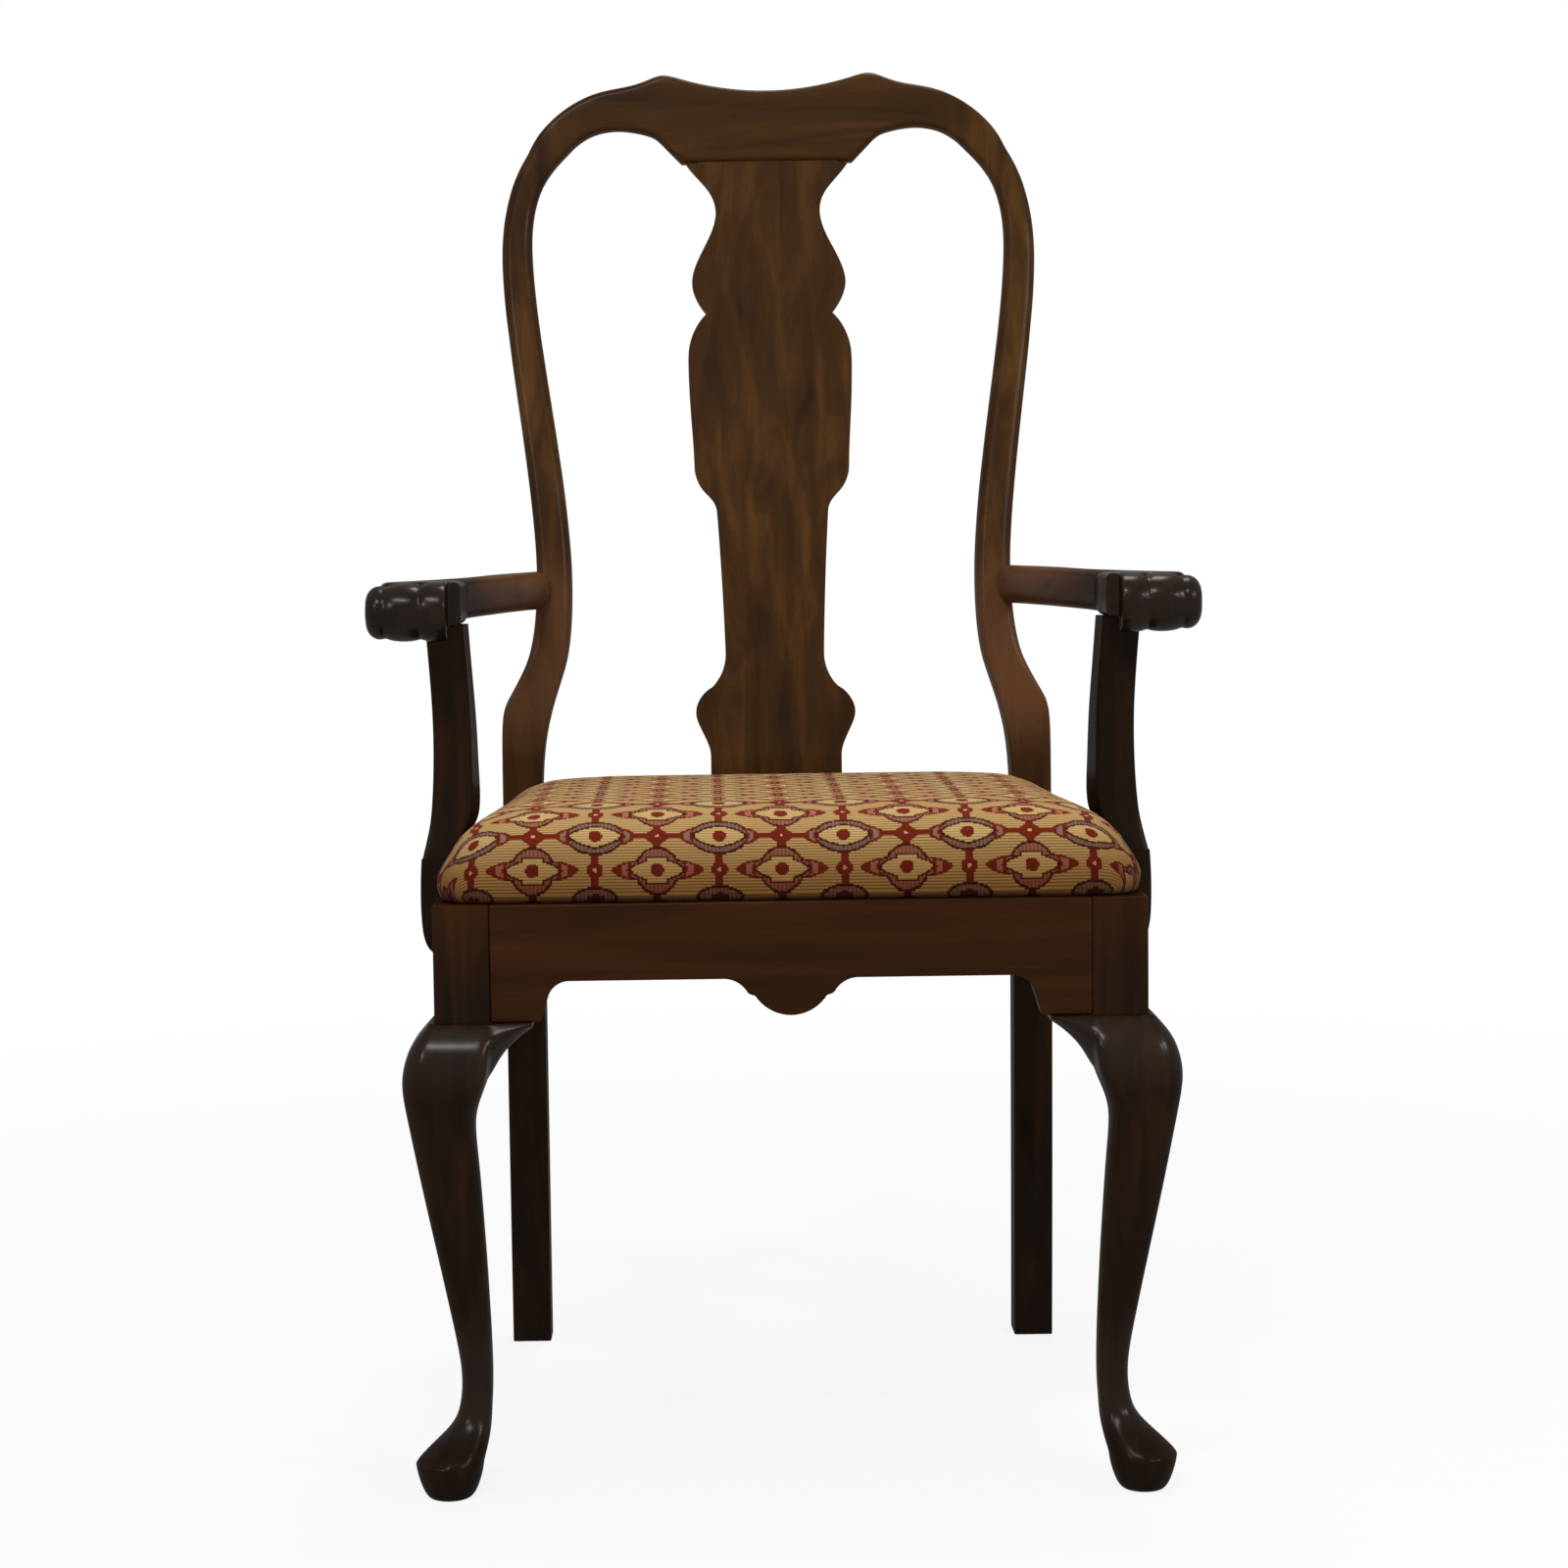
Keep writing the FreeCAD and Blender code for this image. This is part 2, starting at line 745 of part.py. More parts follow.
def front_seat_rail():
    """Front rail with a drop at each end and a pendant in the middle, and tenons."""
    half = front_half - post_side
    edges, drop_end = drop_edges(front_place)
    pendant, pendant_start = pendant_edges()
    edges += pendant + [curve_edge([drop_end, pendant_start])]
    edges.append(curve_edge([front_place(0, 0, drop_points()[0].y), Vector(half, 0, rail_top)]))
    edges += [mirrored(edge) for edge in edges]
    edges.append(curve_edge([Vector(half, 0, rail_top), Vector(-half, 0, rail_top)]))
    rail = prism(edges, Vector(0, rail_thick, 0))
    tenon = front_tenon()
    return one_solid(rail.fuse([tenon, mirrored(tenon)]))


def tenon_heights():
    low = rail_bottom + (rail_height - tenon_height) / 2
    return low, low + tenon_height


def front_tenon():
    y0 = (rail_thick - tenon_thick) / 2
    x0 = front_half - post_side
    return block(x0, x0 + tenon_length, y0, y0 + tenon_thick, *tenon_heights())


def side_tenons():
    """Tenons at the front and rear ends of the right side rail."""
    inset = (rail_thick - tenon_thick) / 2
    x1 = front_half - inset
    front = block(x1 - tenon_thick, x1, post_side - tenon_length, post_side, *tenon_heights())
    x1 = rear_half - inset
    rear = block(x1 - tenon_thick, x1, seat_depth, seat_depth + rear_tenon_length, *tenon_heights())
    return front, rear


def side_seat_rail():
    """Splayed side rail with a drop behind the front leg, and tenons."""
    edges, drop_end = drop_edges(side_place)
    length = seat_depth - post_side
    low = side_place(length, 0, rail_bottom)
    high = side_place(length, 0, rail_top)
    top = side_place(0, 0, rail_top)
    edges += [
        curve_edge([drop_end, low]),
        curve_edge([low, high]),
        curve_edge([high, top]),
        curve_edge([top, side_place(0, 0, drop_points()[0].y)]),
    ]
    rail = prism(edges, Vector(-rail_thick / math.cos(splay), 0, 0))
    return one_solid(rail.fuse(list(side_tenons())))


def rear_tenon():
    x0 = rear_half - rear_leg_width
    y1 = rear_rail_back - rail_thick * rear_tenon_inset_share
    return block(x0, x0 + rear_tenon_length, y1 - tenon_thick, y1, *tenon_heights())


def rear_seat_rail():
    """Rear rail, which reaches forwards under the seat and backwards under the shoe."""
    half = rear_half - rear_leg_width
    rail = block(-half, half, rear_rail_front, rear_rail_back, rail_bottom, rail_top)
    tenon = rear_tenon()
    return one_solid(rail.fuse([tenon, mirrored(tenon)]))


def arm_ring(x0, x1, y, z, rounding):
    """An upright section across the arm."""
    corners = [Vector(x0, y, z), Vector(x1, y, z)]
    corners += [Vector(x1, y, z + arm_thick), Vector(x0, y, z + arm_thick)]
    return ring(corners, [rounding] * 4)


def arm_board():
    """Arm from the scroll back to the stile, narrowing and turning inwards."""
    end = back_front(arm_top) + stile_round
    rings = []
    for share in along(arm_shares, 1):
        inner, outer, rounding, rise = curve_at(arm_shares, share)
        y = arm_front + (end - arm_front) * share
        x0 = arm_hand_inner + (arm_end_inner - arm_hand_inner) * inner
        x1 = arm_end_outer + (arm_hand_outer - arm_end_outer) * outer
        r = arm_hand_round + (arm_round - arm_hand_round) * rounding
        r = min(r, (x1 - x0) * full_round_share)
        z0 = arm_bottom + arm_rise * rise
        rings.append(arm_ring(x0, x1, y, z0, r))
    return rings


def arm():
    """Arm with its turned-over scroll of three lobes at the front."""
    nose = arm_hand_inner + arm_hand_width * arm_nose_share
    front = arm_ring(arm_hand_inner, nose, roll_centre, arm_bottom, arm_hand_round)
    board = skin([front] + arm_board())
    radius = roll_diameter / 2
    z = arm_top - radius
    circles = []
    for width, size in roll_shares:
        centre = Vector(roll_end - roll_width * width, roll_centre, z)
        circles.append(circle_ring(centre, Vector(1, 0, 0), radius * size))
    roll = skin(circles)
    return one_solid(board.fuse(roll))


def arm_screw_line():
    """Middle of the joint between arm and stile, on the stile's back, and its height."""
    z = (arm_top + arm_bottom) / 2
    x1, deep = stile_at((z - corner_height) / (shoulder_height - corner_height))[1:3]
    return Vector((arm_end_inner + x1) / 2, back_front(z) + deep, z)


def arm_plug():
    start = arm_screw_line()
    return rod(start - Vector(0, plug_depth, 0), Vector(0, 1, 0), plug_diameter, plug_depth)


def arm_screw():
    """Screw from the stile's back, leaning outwards along the middle of the arm."""
    head = arm_screw_line() - Vector(0, plug_depth, 0)
    inner, outer = curve_at(arm_shares, arm_screw_share)[:2]
    x0 = arm_hand_inner + (arm_end_inner - arm_hand_inner) * inner
    x1 = arm_end_outer + (arm_hand_outer - arm_end_outer) * outer
    end = back_front(arm_top) + stile_round
    y = arm_front + (end - arm_front) * arm_screw_share
    return screw(head, Vector((x0 + x1) / 2, y, head.z) - head, arm_screw_length)


def support_place(along_rail, out, z):
    """A point on the arm support, in the frame of the splayed side rail."""
    foot = Vector(side_rail_outer(support_front), support_front, z)
    back = Vector(-math.sin(splay), math.cos(splay), 0)
    side = Vector(math.cos(splay), math.sin(splay), 0)
    return foot + back * along_rail + side * out


def support_ring(front, rear, inner, outer, z):
    corners = [support_place(front, inner, z), support_place(front, outer, z)]
    corners += [support_place(rear, outer, z), support_place(rear, inner, z)]
    return ring(corners, [support_round] * 4, small_facets)


def arm_support():
    """Block lapped on the side rail, and the swept post above it."""
    rings = []
    for height, inset, thick in support_block_shares:
        z = support_bottom + (support_ledge_height - support_bottom) * height
        front = support_depth * inset
        rings.append(support_ring(front, support_depth - front, 0, support_thick * thick, z))
    lower = skin(rings)
    rings = []
    for share in along(support_shares, 1):
        sweep, depth, inner, outer = curve_at(support_shares, share)
        z = support_ledge_height + (arm_bottom - support_ledge_height) * share
        front = support_ledge + sweep * support_sweep
        deep = support_top_depth + depth * (support_depth - 2 * support_ledge - support_top_depth)
        rings.append(support_ring(front, front + deep, -support_lean * inner, support_thick * outer, z))
    return lower.fuse(skin(rings)).removeSplitter()


def support_tenon():
    """Round tenon on the support's top, in the arm."""
    sweep = curve_at(support_shares, 1)[0]
    inner, outer = curve_at(support_shares, 1)[2:]
    middle = support_ledge + sweep * support_sweep + support_top_depth / 2
    foot = support_place(middle, (support_thick * outer - support_lean * inner) / 2, arm_bottom)
    return rod(foot, Vector(0, 0, 1), support_tenon_diameter, support_tenon_length)


def support_screws():
    """Two screws from inside the side rail."""
    z = rail_bottom + rail_height / 2
    way = support_place(0, 1, z) - support_place(0, 0, z)
    return [
        screw(support_place(support_depth * share, -rail_thick, z), way, support_screw_length)
        for share in support_screw_shares
    ]


def seat_ring(inset, z):
    """Outline of the seat, drawn in all round, at a height."""
    y0 = seat_front_inset + inset
    y1 = seat_depth - seat_back_gap - inset
    x0 = side_rail_outer(y0) - seat_side_inset - inset
    x1 = side_rail_outer(y1) - seat_side_inset - inset
    front = seat_corner_round + inset * seat_round_share
    rear = seat_corner_round * seat_round_share + inset * seat_round_share
    corners = [Vector(-x0, y0, z), Vector(x0, y0, z), Vector(x1, y1, z), Vector(-x1, y1, z)]
    return ring(corners, [front, front, rear, rear])


def cushion(layer):
    """Rings of the crowned cushion, drawn in by the thickness of a layer."""
    rings = []
    for height, inset in cushion_shares:
        z = seat_base + seat_crown * height - layer * height
        rings.append(seat_ring(inset * seat_top_inset + layer, z))
    return rings


def seat_board():
    inset = seat_wrap
    low = flat_face(seat_ring(inset, seat_base))
    return low.extrude(Vector(0, 0, board_thick))


def seat_foam():
    """Foam crowned above the board and wrapped round its edge."""
    return one_solid(skin(cushion(cover_thick)).cut(seat_board()))


def seat_cover():
    """Fabric stretched over the foam, open below."""
    return one_solid(skin(cushion(0)).cut(skin(cushion(cover_thick))))


def dust_cover():
    low = flat_face(seat_ring(dust_cover_inset, rail_top))
    return low.extrude(Vector(0, 0, dust_cover_thick))


def corner_points(front):
    """Plan of a corner block: rail end, nose, side nose, side end, and round the leg."""
    inner = rail_thick / math.cos(splay)
    if front:
        wall = rail_thick
        leg_x = front_half - post_side
        leg_y = post_side
        way = 1
    else:
        wall = rear_rail_front
        leg_x = rear_half - rear_leg_width
        leg_y = seat_depth
        way = -1
    side_y = wall + way * block_leg
    rail_x = side_rail_outer(wall) - inner - block_leg
    side_x = side_rail_outer(side_y) - inner
    return [
        (rail_x, wall),
        (rail_x, wall + way * block_nose),
        (side_x - block_nose, side_y),
        (side_x, side_y),
        (side_rail_outer(leg_y) - inner, leg_y),
        (leg_x, leg_y),
        (leg_x, wall),
    ]


def corner_block(front):
    low = rail_top - block_height
    points = [Vector(x, y, low) for x, y in corner_points(front)]
    return polygon_prism(points, Vector(0, 0, block_height))


def block_screw(front):
    """Screw through the middle of the block's long face, into the leg."""
    points = [Vector(x, y, rail_top - block_height / 2) for x, y in corner_points(front)]
    head = (points[1] + points[2]) / 2
    reach = points[5] - head
    return screw(head, reach / reach.Length, reach.Length + block_screw_bite)


def seat_screw(front):
    """Screw up through the block, into the seat board."""
    points = [Vector(x, y, rail_top - block_height) for x, y in corner_points(front)]
    head = (points[0] + points[1] + points[5] + (points[1] + points[2]) / 2) / 4
    return screw(head, Vector(0, 0, 1), seat_screw_length)


def crest_dowels():
    """Two dowels across the right joint of crest and stile, in line with the wood."""
    x0, x1, deep = stile_at(1)[:3]
    middle = Vector((x0 + x1) / 2, back_front(shoulder_height) + deep / 2, shoulder_height)
    rise = dowel_length / 2
    drift = back_front(shoulder_height + rise) - back_front(shoulder_height)
    way = Vector(-math.tan(math.radians(dowel_lean)) * rise, drift, rise)
    way = way / way.Length
    spread = Vector(dowel_spacing / 2, 0, 0)
    return [
        rod(middle + spread * side - way * rise, way, dowel_diameter, dowel_length)
        for side in (-1, 1)
    ]


def pair(name, shape):
    return {name + "_right": shape, name + "_left": mirrored(shape)}


def both_sides(shapes):
    return Part.makeCompound(shapes + [mirrored(shape) for shape in shapes])


def build():
    """Make every piece, cut each joint, and return the pieces by name."""
    dowels = crest_dowels()
    tongued = splat()
    supports = support_screws()
    front_screw = block_screw(True)
    rear_screw = block_screw(False)
    seat_screws = [seat_screw(True), seat_screw(False)]
    plug = arm_plug()
    arm_bolt = arm_screw()
    tenon = support_tenon()
    side_front, side_rear = side_tenons()

    stile = rear_leg()
    post = arm_support()
    elbow = one_solid(arm().cut([stile, post, tenon, arm_bolt]))
    stile = one_solid(stile.cut(dowels + [rear_tenon(), side_rear, rear_screw, plug, arm_bolt]))
    crest = crest_rail()
    crest = one_solid(crest.cut(dowels + [mirrored(dowel) for dowel in dowels] + [tongued]))
    support = one_solid(post.fuse(tenon).cut(supports))
    board = seat_board().cut(seat_screws + [mirrored(shape) for shape in seat_screws])
    lining = dust_cover().cut(seat_screws + [mirrored(shape) for shape in seat_screws])

    pieces = {
        "crest_rail": crest,
        "splat": tongued,
        "splat_shoe": one_solid(splat_shoe().cut(tongued)),
        "front_seat_rail": front_seat_rail(),
        "rear_seat_rail": rear_seat_rail(),
        "seat_board": one_solid(board),
        "seat_foam": seat_foam(),
        "seat_cover": seat_cover(),
        "dust_cover": one_solid(lining),
        "crest_dowels": both_sides(dowels),
        "arm_screws": both_sides([arm_bolt]),
        "arm_screw_plugs": both_sides([plug]),
        "arm_support_screws": both_sides(supports),
        "corner_block_screws": both_sides([front_screw, rear_screw]),
        "seat_screws": both_sides(seat_screws),
    }
    leg = one_solid(front_leg().cut([front_tenon(), side_front, front_screw]))
    pieces.update(pair("front_leg", leg))
    pieces.update(pair("rear_leg", stile))
    pieces.update(pair("side_seat_rail", one_solid(side_seat_rail().cut(supports))))
    pieces.update(pair("knee_bracket_front", one_solid(knee_bracket(front_place).cut(leg))))
    pieces.update(pair("knee_bracket_side", one_solid(knee_bracket(side_place).cut(leg))))
    pieces.update(pair("arm", elbow))
    pieces.update(pair("arm_support", support))
    front_block = corner_block(True).cut([front_screw, seat_screws[0]])
    rear_block = corner_block(False).cut([rear_screw, seat_screws[1]])
    pieces.update(pair("corner_block_front", one_solid(front_block)))
    pieces.update(pair("corner_block_rear", one_solid(rear_block)))
    return pieces


pieces = build()
box = FreeCAD.BoundBox()
for shape in pieces.values():
    box.add(shape.optimalBoundingBox(False))
shift = Vector(-(box.XMin + box.XMax) / 2, -(box.YMin + box.YMax) / 2, -box.ZMin)
os.makedirs("parts", exist_ok=True)
for name, shape in pieces.items():
    shape.translate(shift)
    shape.exportStep(os.path.join("parts", name + ".step"))
    print(name, len(shape.Solids), shape.isValid(), round(shape.Volume))
print("box", box.XLength, box.YLength, box.ZLength, "shift", shift)
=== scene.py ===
"""Dresses the dining armchair: carved wood, upholstered seat, small hardware and a studio stage."""

import math

import bpy
import numpy as np
from bpy.props import FloatProperty, FloatVectorProperty, IntProperty, PointerProperty
from bpy.types import Operator, Panel, PropertyGroup
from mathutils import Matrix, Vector


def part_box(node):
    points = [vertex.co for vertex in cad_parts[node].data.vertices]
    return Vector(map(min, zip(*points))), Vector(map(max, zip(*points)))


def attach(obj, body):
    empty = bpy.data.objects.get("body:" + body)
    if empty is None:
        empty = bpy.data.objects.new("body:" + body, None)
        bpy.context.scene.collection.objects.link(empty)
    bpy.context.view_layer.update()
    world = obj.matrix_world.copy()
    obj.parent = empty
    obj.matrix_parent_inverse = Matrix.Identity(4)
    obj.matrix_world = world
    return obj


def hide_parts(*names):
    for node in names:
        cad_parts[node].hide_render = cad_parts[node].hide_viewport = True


bl_info = {
    "name": "Dining Armchair",
    "version": (1, 0, 0),
    "blender": (4, 5, 0),
    "location": "View3D > Sidebar > Armchair",
    "description": "Carved wood, patterned seat and studio stage for a dining armchair",
    "category": "Object",
}

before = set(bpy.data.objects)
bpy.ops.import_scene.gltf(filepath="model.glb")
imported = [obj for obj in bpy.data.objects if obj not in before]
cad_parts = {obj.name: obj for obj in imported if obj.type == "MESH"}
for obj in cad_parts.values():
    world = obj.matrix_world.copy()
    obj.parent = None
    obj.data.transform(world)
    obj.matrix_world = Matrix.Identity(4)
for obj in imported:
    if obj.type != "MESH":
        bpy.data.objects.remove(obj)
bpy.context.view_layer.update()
BODY = "root"


def paint(red, green, blue):
    """A colour written as on a paint chart, 0 to 255, turned into the linear colour that shaders use."""
    chart = []
    for level in (red, green, blue):
        share = level / 255
        chart.append(share / 12.92 if share <= 0.04045 else ((share + 0.055) / 1.055) ** 2.4)
    return (*chart, 1.0)


def colour_property(name, description, default):
    """A colour that a user may change."""
    return FloatVectorProperty(
        name=name, description=description, subtype="COLOR", size=4, min=0, max=1, default=default
    )


def length_property(name, description, default):
    """A length in metres that a user may change."""
    return FloatProperty(
        name=name, description=description, default=default, min=0, unit="LENGTH", precision=4
    )


def share_property(name, description, default):
    """A share between nothing and all."""
    return FloatProperty(
        name=name, description=description, default=default, min=0, max=1, subtype="FACTOR"
    )


def rounds_property(name, description, default):
    """A number of rounds of smoothing."""
    return IntProperty(name=name, description=description, default=default, min=1, max=99)


class WoodFinish(PropertyGroup):
    """Colours and figure of the stained hardwood."""

    back_light: colour_property("Back, light", "Golden streaks of the splat and crest", paint(84, 54, 24))
    back_mid: colour_property("Back, body", "Main colour of the splat and crest", paint(57, 36, 16))
    back_dark: colour_property("Back, dark", "Dark streaks of the splat and crest", paint(39, 24, 11))
    rail_light: colour_property("Rails, light", "Reddish streaks of the seat rails", paint(58, 31, 9))
    rail_mid: colour_property("Rails, body", "Main colour of the seat rails", paint(45, 23, 6))
    rail_dark: colour_property("Rails, dark", "Dark streaks of the seat rails", paint(33, 17, 5))
    leg_light: colour_property("Legs, light", "Warm streaks of the legs and arms", paint(40, 23, 10))
    leg_mid: colour_property("Legs, body", "Main colour of the legs and arms", paint(25, 14, 6))
    leg_dark: colour_property("Legs, dark", "Darkest streaks of the legs and arms", paint(16, 9, 4))
    bare_light: colour_property("Bare wood, light", "Light streaks of the inner wood", paint(205, 172, 124))
    bare_dark: colour_property("Bare wood, dark", "Dark streaks of the inner wood", paint(166, 128, 84))
    streak_width: length_property("Streak width", "Width of one streak across the grain", 0.02)
    streak_length: length_property("Streak length", "Length of one streak along the grain", 0.22)
    pore_width: length_property("Pore width", "Width of a pore across the grain", 0.0009)
    pore_length: length_property("Pore length", "Length of a pore along the grain", 0.012)
    pore_depth: length_property("Pore depth", "How deep the pores sink through the finish", 0.00012)
    sheen: FloatProperty(name="Roughness", description="Roughness of the polish", default=0.24, min=0, max=1)
    polish: share_property("Polish", "Weight of the coat of polish", 0.09)
    burnish: FloatProperty(
        name="Burnish", description="Extra polish where hands have rubbed", default=1.5, min=0
    )
    # Lighter brown: rubbed wear on the arms, and painted light on the stiles between arm and seat
    worn_and_lit: colour_property("Worn", "Brown where clothes and sleeves have rubbed", paint(94, 62, 40))


class ClothFinish(PropertyGroup):
    """Colours and repeat of the woven seat cloth."""

    ground: colour_property("Ground", "Gold ground of the cloth", paint(186, 154, 98))
    cream: colour_property("Cream", "Pale gold field inside a medallion", paint(198, 168, 110))
    madder: colour_property("Madder", "Dark red of dots, stars and tips", paint(110, 32, 14))
    rose: colour_property("Rose", "Dusty pink of every other row", paint(156, 98, 78))
    mauve: colour_property("Mauve", "Grey mauve of the rows between", paint(130, 104, 90))
    umber: colour_property("Umber", "Brown of the outlines", paint(70, 26, 12))
    repeat_width: length_property("Repeat width", "Width of one repeat of the pattern", 0.09)
    repeat_height: length_property("Repeat height", "Height of one repeat of the pattern", 0.053)
    shift_across: length_property("Shift across", "How far the pattern is moved to the left", 0.006)
    shift_up: length_property("Shift up", "How far the pattern is moved to the front", 0.0)
    thread_width: length_property("Thread width", "Width of one warp step in the pattern's edges", 0.0014)
    pick_height: length_property("Pick height", "Height of one weft step in the pattern's edges", 0.0011)
    line_width: length_property("Line width", "Width of the outlines", 0.0019)
    hatch_pitch: length_property("Hatch pitch", "Distance between two stripes of a ring", 0.0028)
    rib_pitch: length_property("Rib pitch", "Distance between two weft ribs", 0.0022)
    rib_depth: length_property("Rib depth", "Height of a weft rib", 0.0003)


class SmallFinish(PropertyGroup):
    """Colours of hardware, lining and stage."""

    steel: colour_property("Steel", "Colour of the screws", paint(170, 168, 162))
    lining: colour_property("Lining", "Dark cloth under the seat", paint(38, 36, 36))
    floor: colour_property("Floor", "Pale studio floor", paint(205, 205, 205))
    floor_width: length_property("Floor width", "Width of the studio floor", 14.0)
    shadow: share_property("Shadow", "Weight of the shadow near the chair", 0.13)
    shadow_reach: length_property("Shadow reach", "Distance at which the floor is plain white", 2.2)
    sky: share_property("Sky light", "Strength of the light from all round", 0.42)


class ChairSizes(PropertyGroup):
    """Sizes that the dressing adds to the frame."""

    voxel: length_property("Cushion grain", "Mesh size while the cushion is blown up", 0.005)
    swell: length_property("Cushion swell", "Most that a point of the cushion may move", 0.0025)
    start_inset: length_property("Cushion start", "How much smaller the cushion starts", 0.0015)
    crown_rest: length_property("Crown", "How far the crown stays below the highest point", 0.003)
    tuck: length_property("Tuck", "How far the cloth turns in along its lower edge", 0.002)
    tuck_height: length_property("Tuck height", "Height over which the cloth turns in", 0.006)
    belly: length_property("Belly", "How far the cushion stands out low down", 0.006)
    belly_height: length_property("Belly height", "Height over which the belly fades", 0.032)
    skirt: length_property("Skirt", "How far the lower edge is let out over the rear rail", 0.009)
    skirt_height: length_property("Skirt height", "Height over which the letting out fades", 0.011)
    settle: length_property("Settle", "How far the rounded lower edge is pressed on the rails", 0.0026)
    settle_height: length_property("Settle height", "Height over which the pressing fades", 0.02)
    wrap: length_property("Wrap", "How far the cloth reaches below the seat board", 0.0008)
    crease_angle: FloatProperty(
        name="Crease angle", description="Edges sharper than this stay crisp", default=math.radians(38),
        subtype="ANGLE",
    )
    finer: IntProperty(
        name="Finer steps", description="How often the faces of carved wood are halved",
        default=2, min=1, max=3,
    )
    eased_edge: length_property("Eased edge", "Width of the eased edge of a rail", 0.0016)
    carving_grain: length_property("Carving grain", "Mesh size of a carved leg or arm", 0.0011)
    joint_out: length_property("Joint out", "Distance of the front bracket's joint from the middle", 0.217)
    joint_front: length_property("Joint front", "Distance of the side bracket's joint from the middle", 0.212)
    joint_low: length_property("Joint low", "Height at which the blend over the joint starts", 0.27)
    joint_high: length_property("Joint high", "Height at which the blend over the joint ends", 0.3475)
    joint_blend: length_property("Joint blend", "Distance over which the joint is blended", 0.014)
    ledge_reach: length_property("Ledge reach", "Distance over which the ledge stays crisp", 0.008)
    blend_rounds: rounds_property("Blend", "Rounds of smoothing over a joint", 60)
    soft_rounds: rounds_property("Soft", "Rounds of smoothing on a carved leg or arm", 9)
    arm_rounds: rounds_property("Arm", "Rounds of smoothing behind the hand", 45)
    hand_end: FloatProperty(
        name="Hand end", description="Where the arm's flat hand ends, from front to back", default=-0.095,
        unit="LENGTH",
    )


def deselect_all():
    """Nothing selected and object mode on, as each operator expects."""
    if bpy.context.object and bpy.context.object.mode != "OBJECT":
        bpy.ops.object.mode_set(mode="OBJECT")
    bpy.ops.object.select_all(action="DESELECT")


def make_active(piece):
    """Selects one piece alone."""
    deselect_all()
    piece.select_set(True)
    bpy.context.view_layer.objects.active = piece


def copy_of(node, name):
    """A separate object with a copy of a CAD node's mesh, its doubles merged."""
    same_place = 0.00001
    piece = bpy.data.objects.new(name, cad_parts[node].data.copy())
    bpy.context.scene.collection.objects.link(piece)
    piece.data.name = name
    piece.data.materials.clear()
    make_active(piece)
    bpy.ops.object.mode_set(mode="EDIT")
    bpy.ops.mesh.select_all(action="SELECT")
    bpy.ops.mesh.remove_doubles(threshold=same_place)
    bpy.ops.object.mode_set(mode="OBJECT")
    if piece.data.has_custom_normals:
        bpy.ops.mesh.customdata_custom_splitnormals_clear()
    return piece


def shape_with(piece, kind, **settings):
    """Gives a piece a modifier with these settings and applies it."""
    modifier = piece.modifiers.new(kind.title(), kind)
    for key, value in settings.items():
        setattr(modifier, key, value)
    bpy.ops.object.modifier_apply(modifier=modifier.name)


def places_of(piece):
    """A piece's points as rows of x, y and z."""
    place = np.zeros(len(piece.data.vertices) * 3)
    piece.data.vertices.foreach_get("co", place)
    return place.reshape(-1, 3)


def set_places(piece, place):
    """Moves a piece's points to these rows of x, y and z."""
    piece.data.vertices.foreach_set("co", place.ravel())
    piece.data.update()


def carve(node, name, sizes):
    """A finer, smoother copy of a CAD node whose sharp edges stay crisp."""
    flat_enough = math.radians(12)
    square_enough = math.radians(70)
    piece = copy_of(node, name)
    bpy.ops.object.mode_set(mode="EDIT")
    bpy.ops.mesh.select_mode(type="FACE")
    bpy.ops.mesh.select_all(action="SELECT")
    bpy.ops.mesh.tris_convert_to_quads(face_threshold=flat_enough, shape_threshold=square_enough)
    bpy.ops.mesh.select_all(action="DESELECT")
    bpy.ops.mesh.select_mode(type="EDGE")
    bpy.ops.mesh.edges_select_sharp(sharpness=sizes.crease_angle)
    bpy.ops.transform.edge_crease(value=1)
    bpy.ops.mesh.select_all(action="DESELECT")
    bpy.ops.object.mode_set(mode="OBJECT")
    shape_with(piece, "SUBSURF", levels=sizes.finer, render_levels=sizes.finer)
    bpy.ops.object.shade_smooth_by_angle(angle=sizes.crease_angle)
    return piece


def trim(node, name, sizes):
    """A copy of a flat CAD board with its edges eased."""
    flush = math.radians(1)
    piece = copy_of(node, name)
    bpy.ops.object.mode_set(mode="EDIT")
    bpy.ops.mesh.select_all(action="SELECT")
    bpy.ops.mesh.dissolve_limited(angle_limit=flush)
    bpy.ops.object.mode_set(mode="OBJECT")
    shape_with(
        piece, "BEVEL", width=sizes.eased_edge, segments=3, limit_method="ANGLE",
        angle_limit=sizes.crease_angle,
    )
    bpy.ops.object.shade_smooth_by_angle(angle=sizes.crease_angle)
    return piece


def join(parts):
    """The parts as one object, the first."""
    make_active(parts[0])
    for part in parts:
        part.select_set(True)
    bpy.ops.object.join()
    return parts[0]


def soften(piece, rounds, weights):
    """Rounds of smoothing, at each point by its weight."""
    group = piece.vertex_groups.new(name="softened")
    for index, weight in enumerate(weights):
        if weight > 0:
            group.add([index], weight, "REPLACE")
    shape_with(piece, "SMOOTH", factor=0.5, iterations=rounds, vertex_group=group.name)
    piece.vertex_groups.clear()


def carve_over(piece, sizes):
    """One even, softened surface in place of a piece's faces, left crisp at the ledge over the knees."""
    piece.data.remesh_voxel_size = sizes.carving_grain
    bpy.ops.object.voxel_remesh()
    from_ledge = abs(places_of(piece)[:, 2] - sizes.joint_high)
    soften(piece, sizes.soft_rounds, np.clip(from_ledge / sizes.ledge_reach, 0, 1))


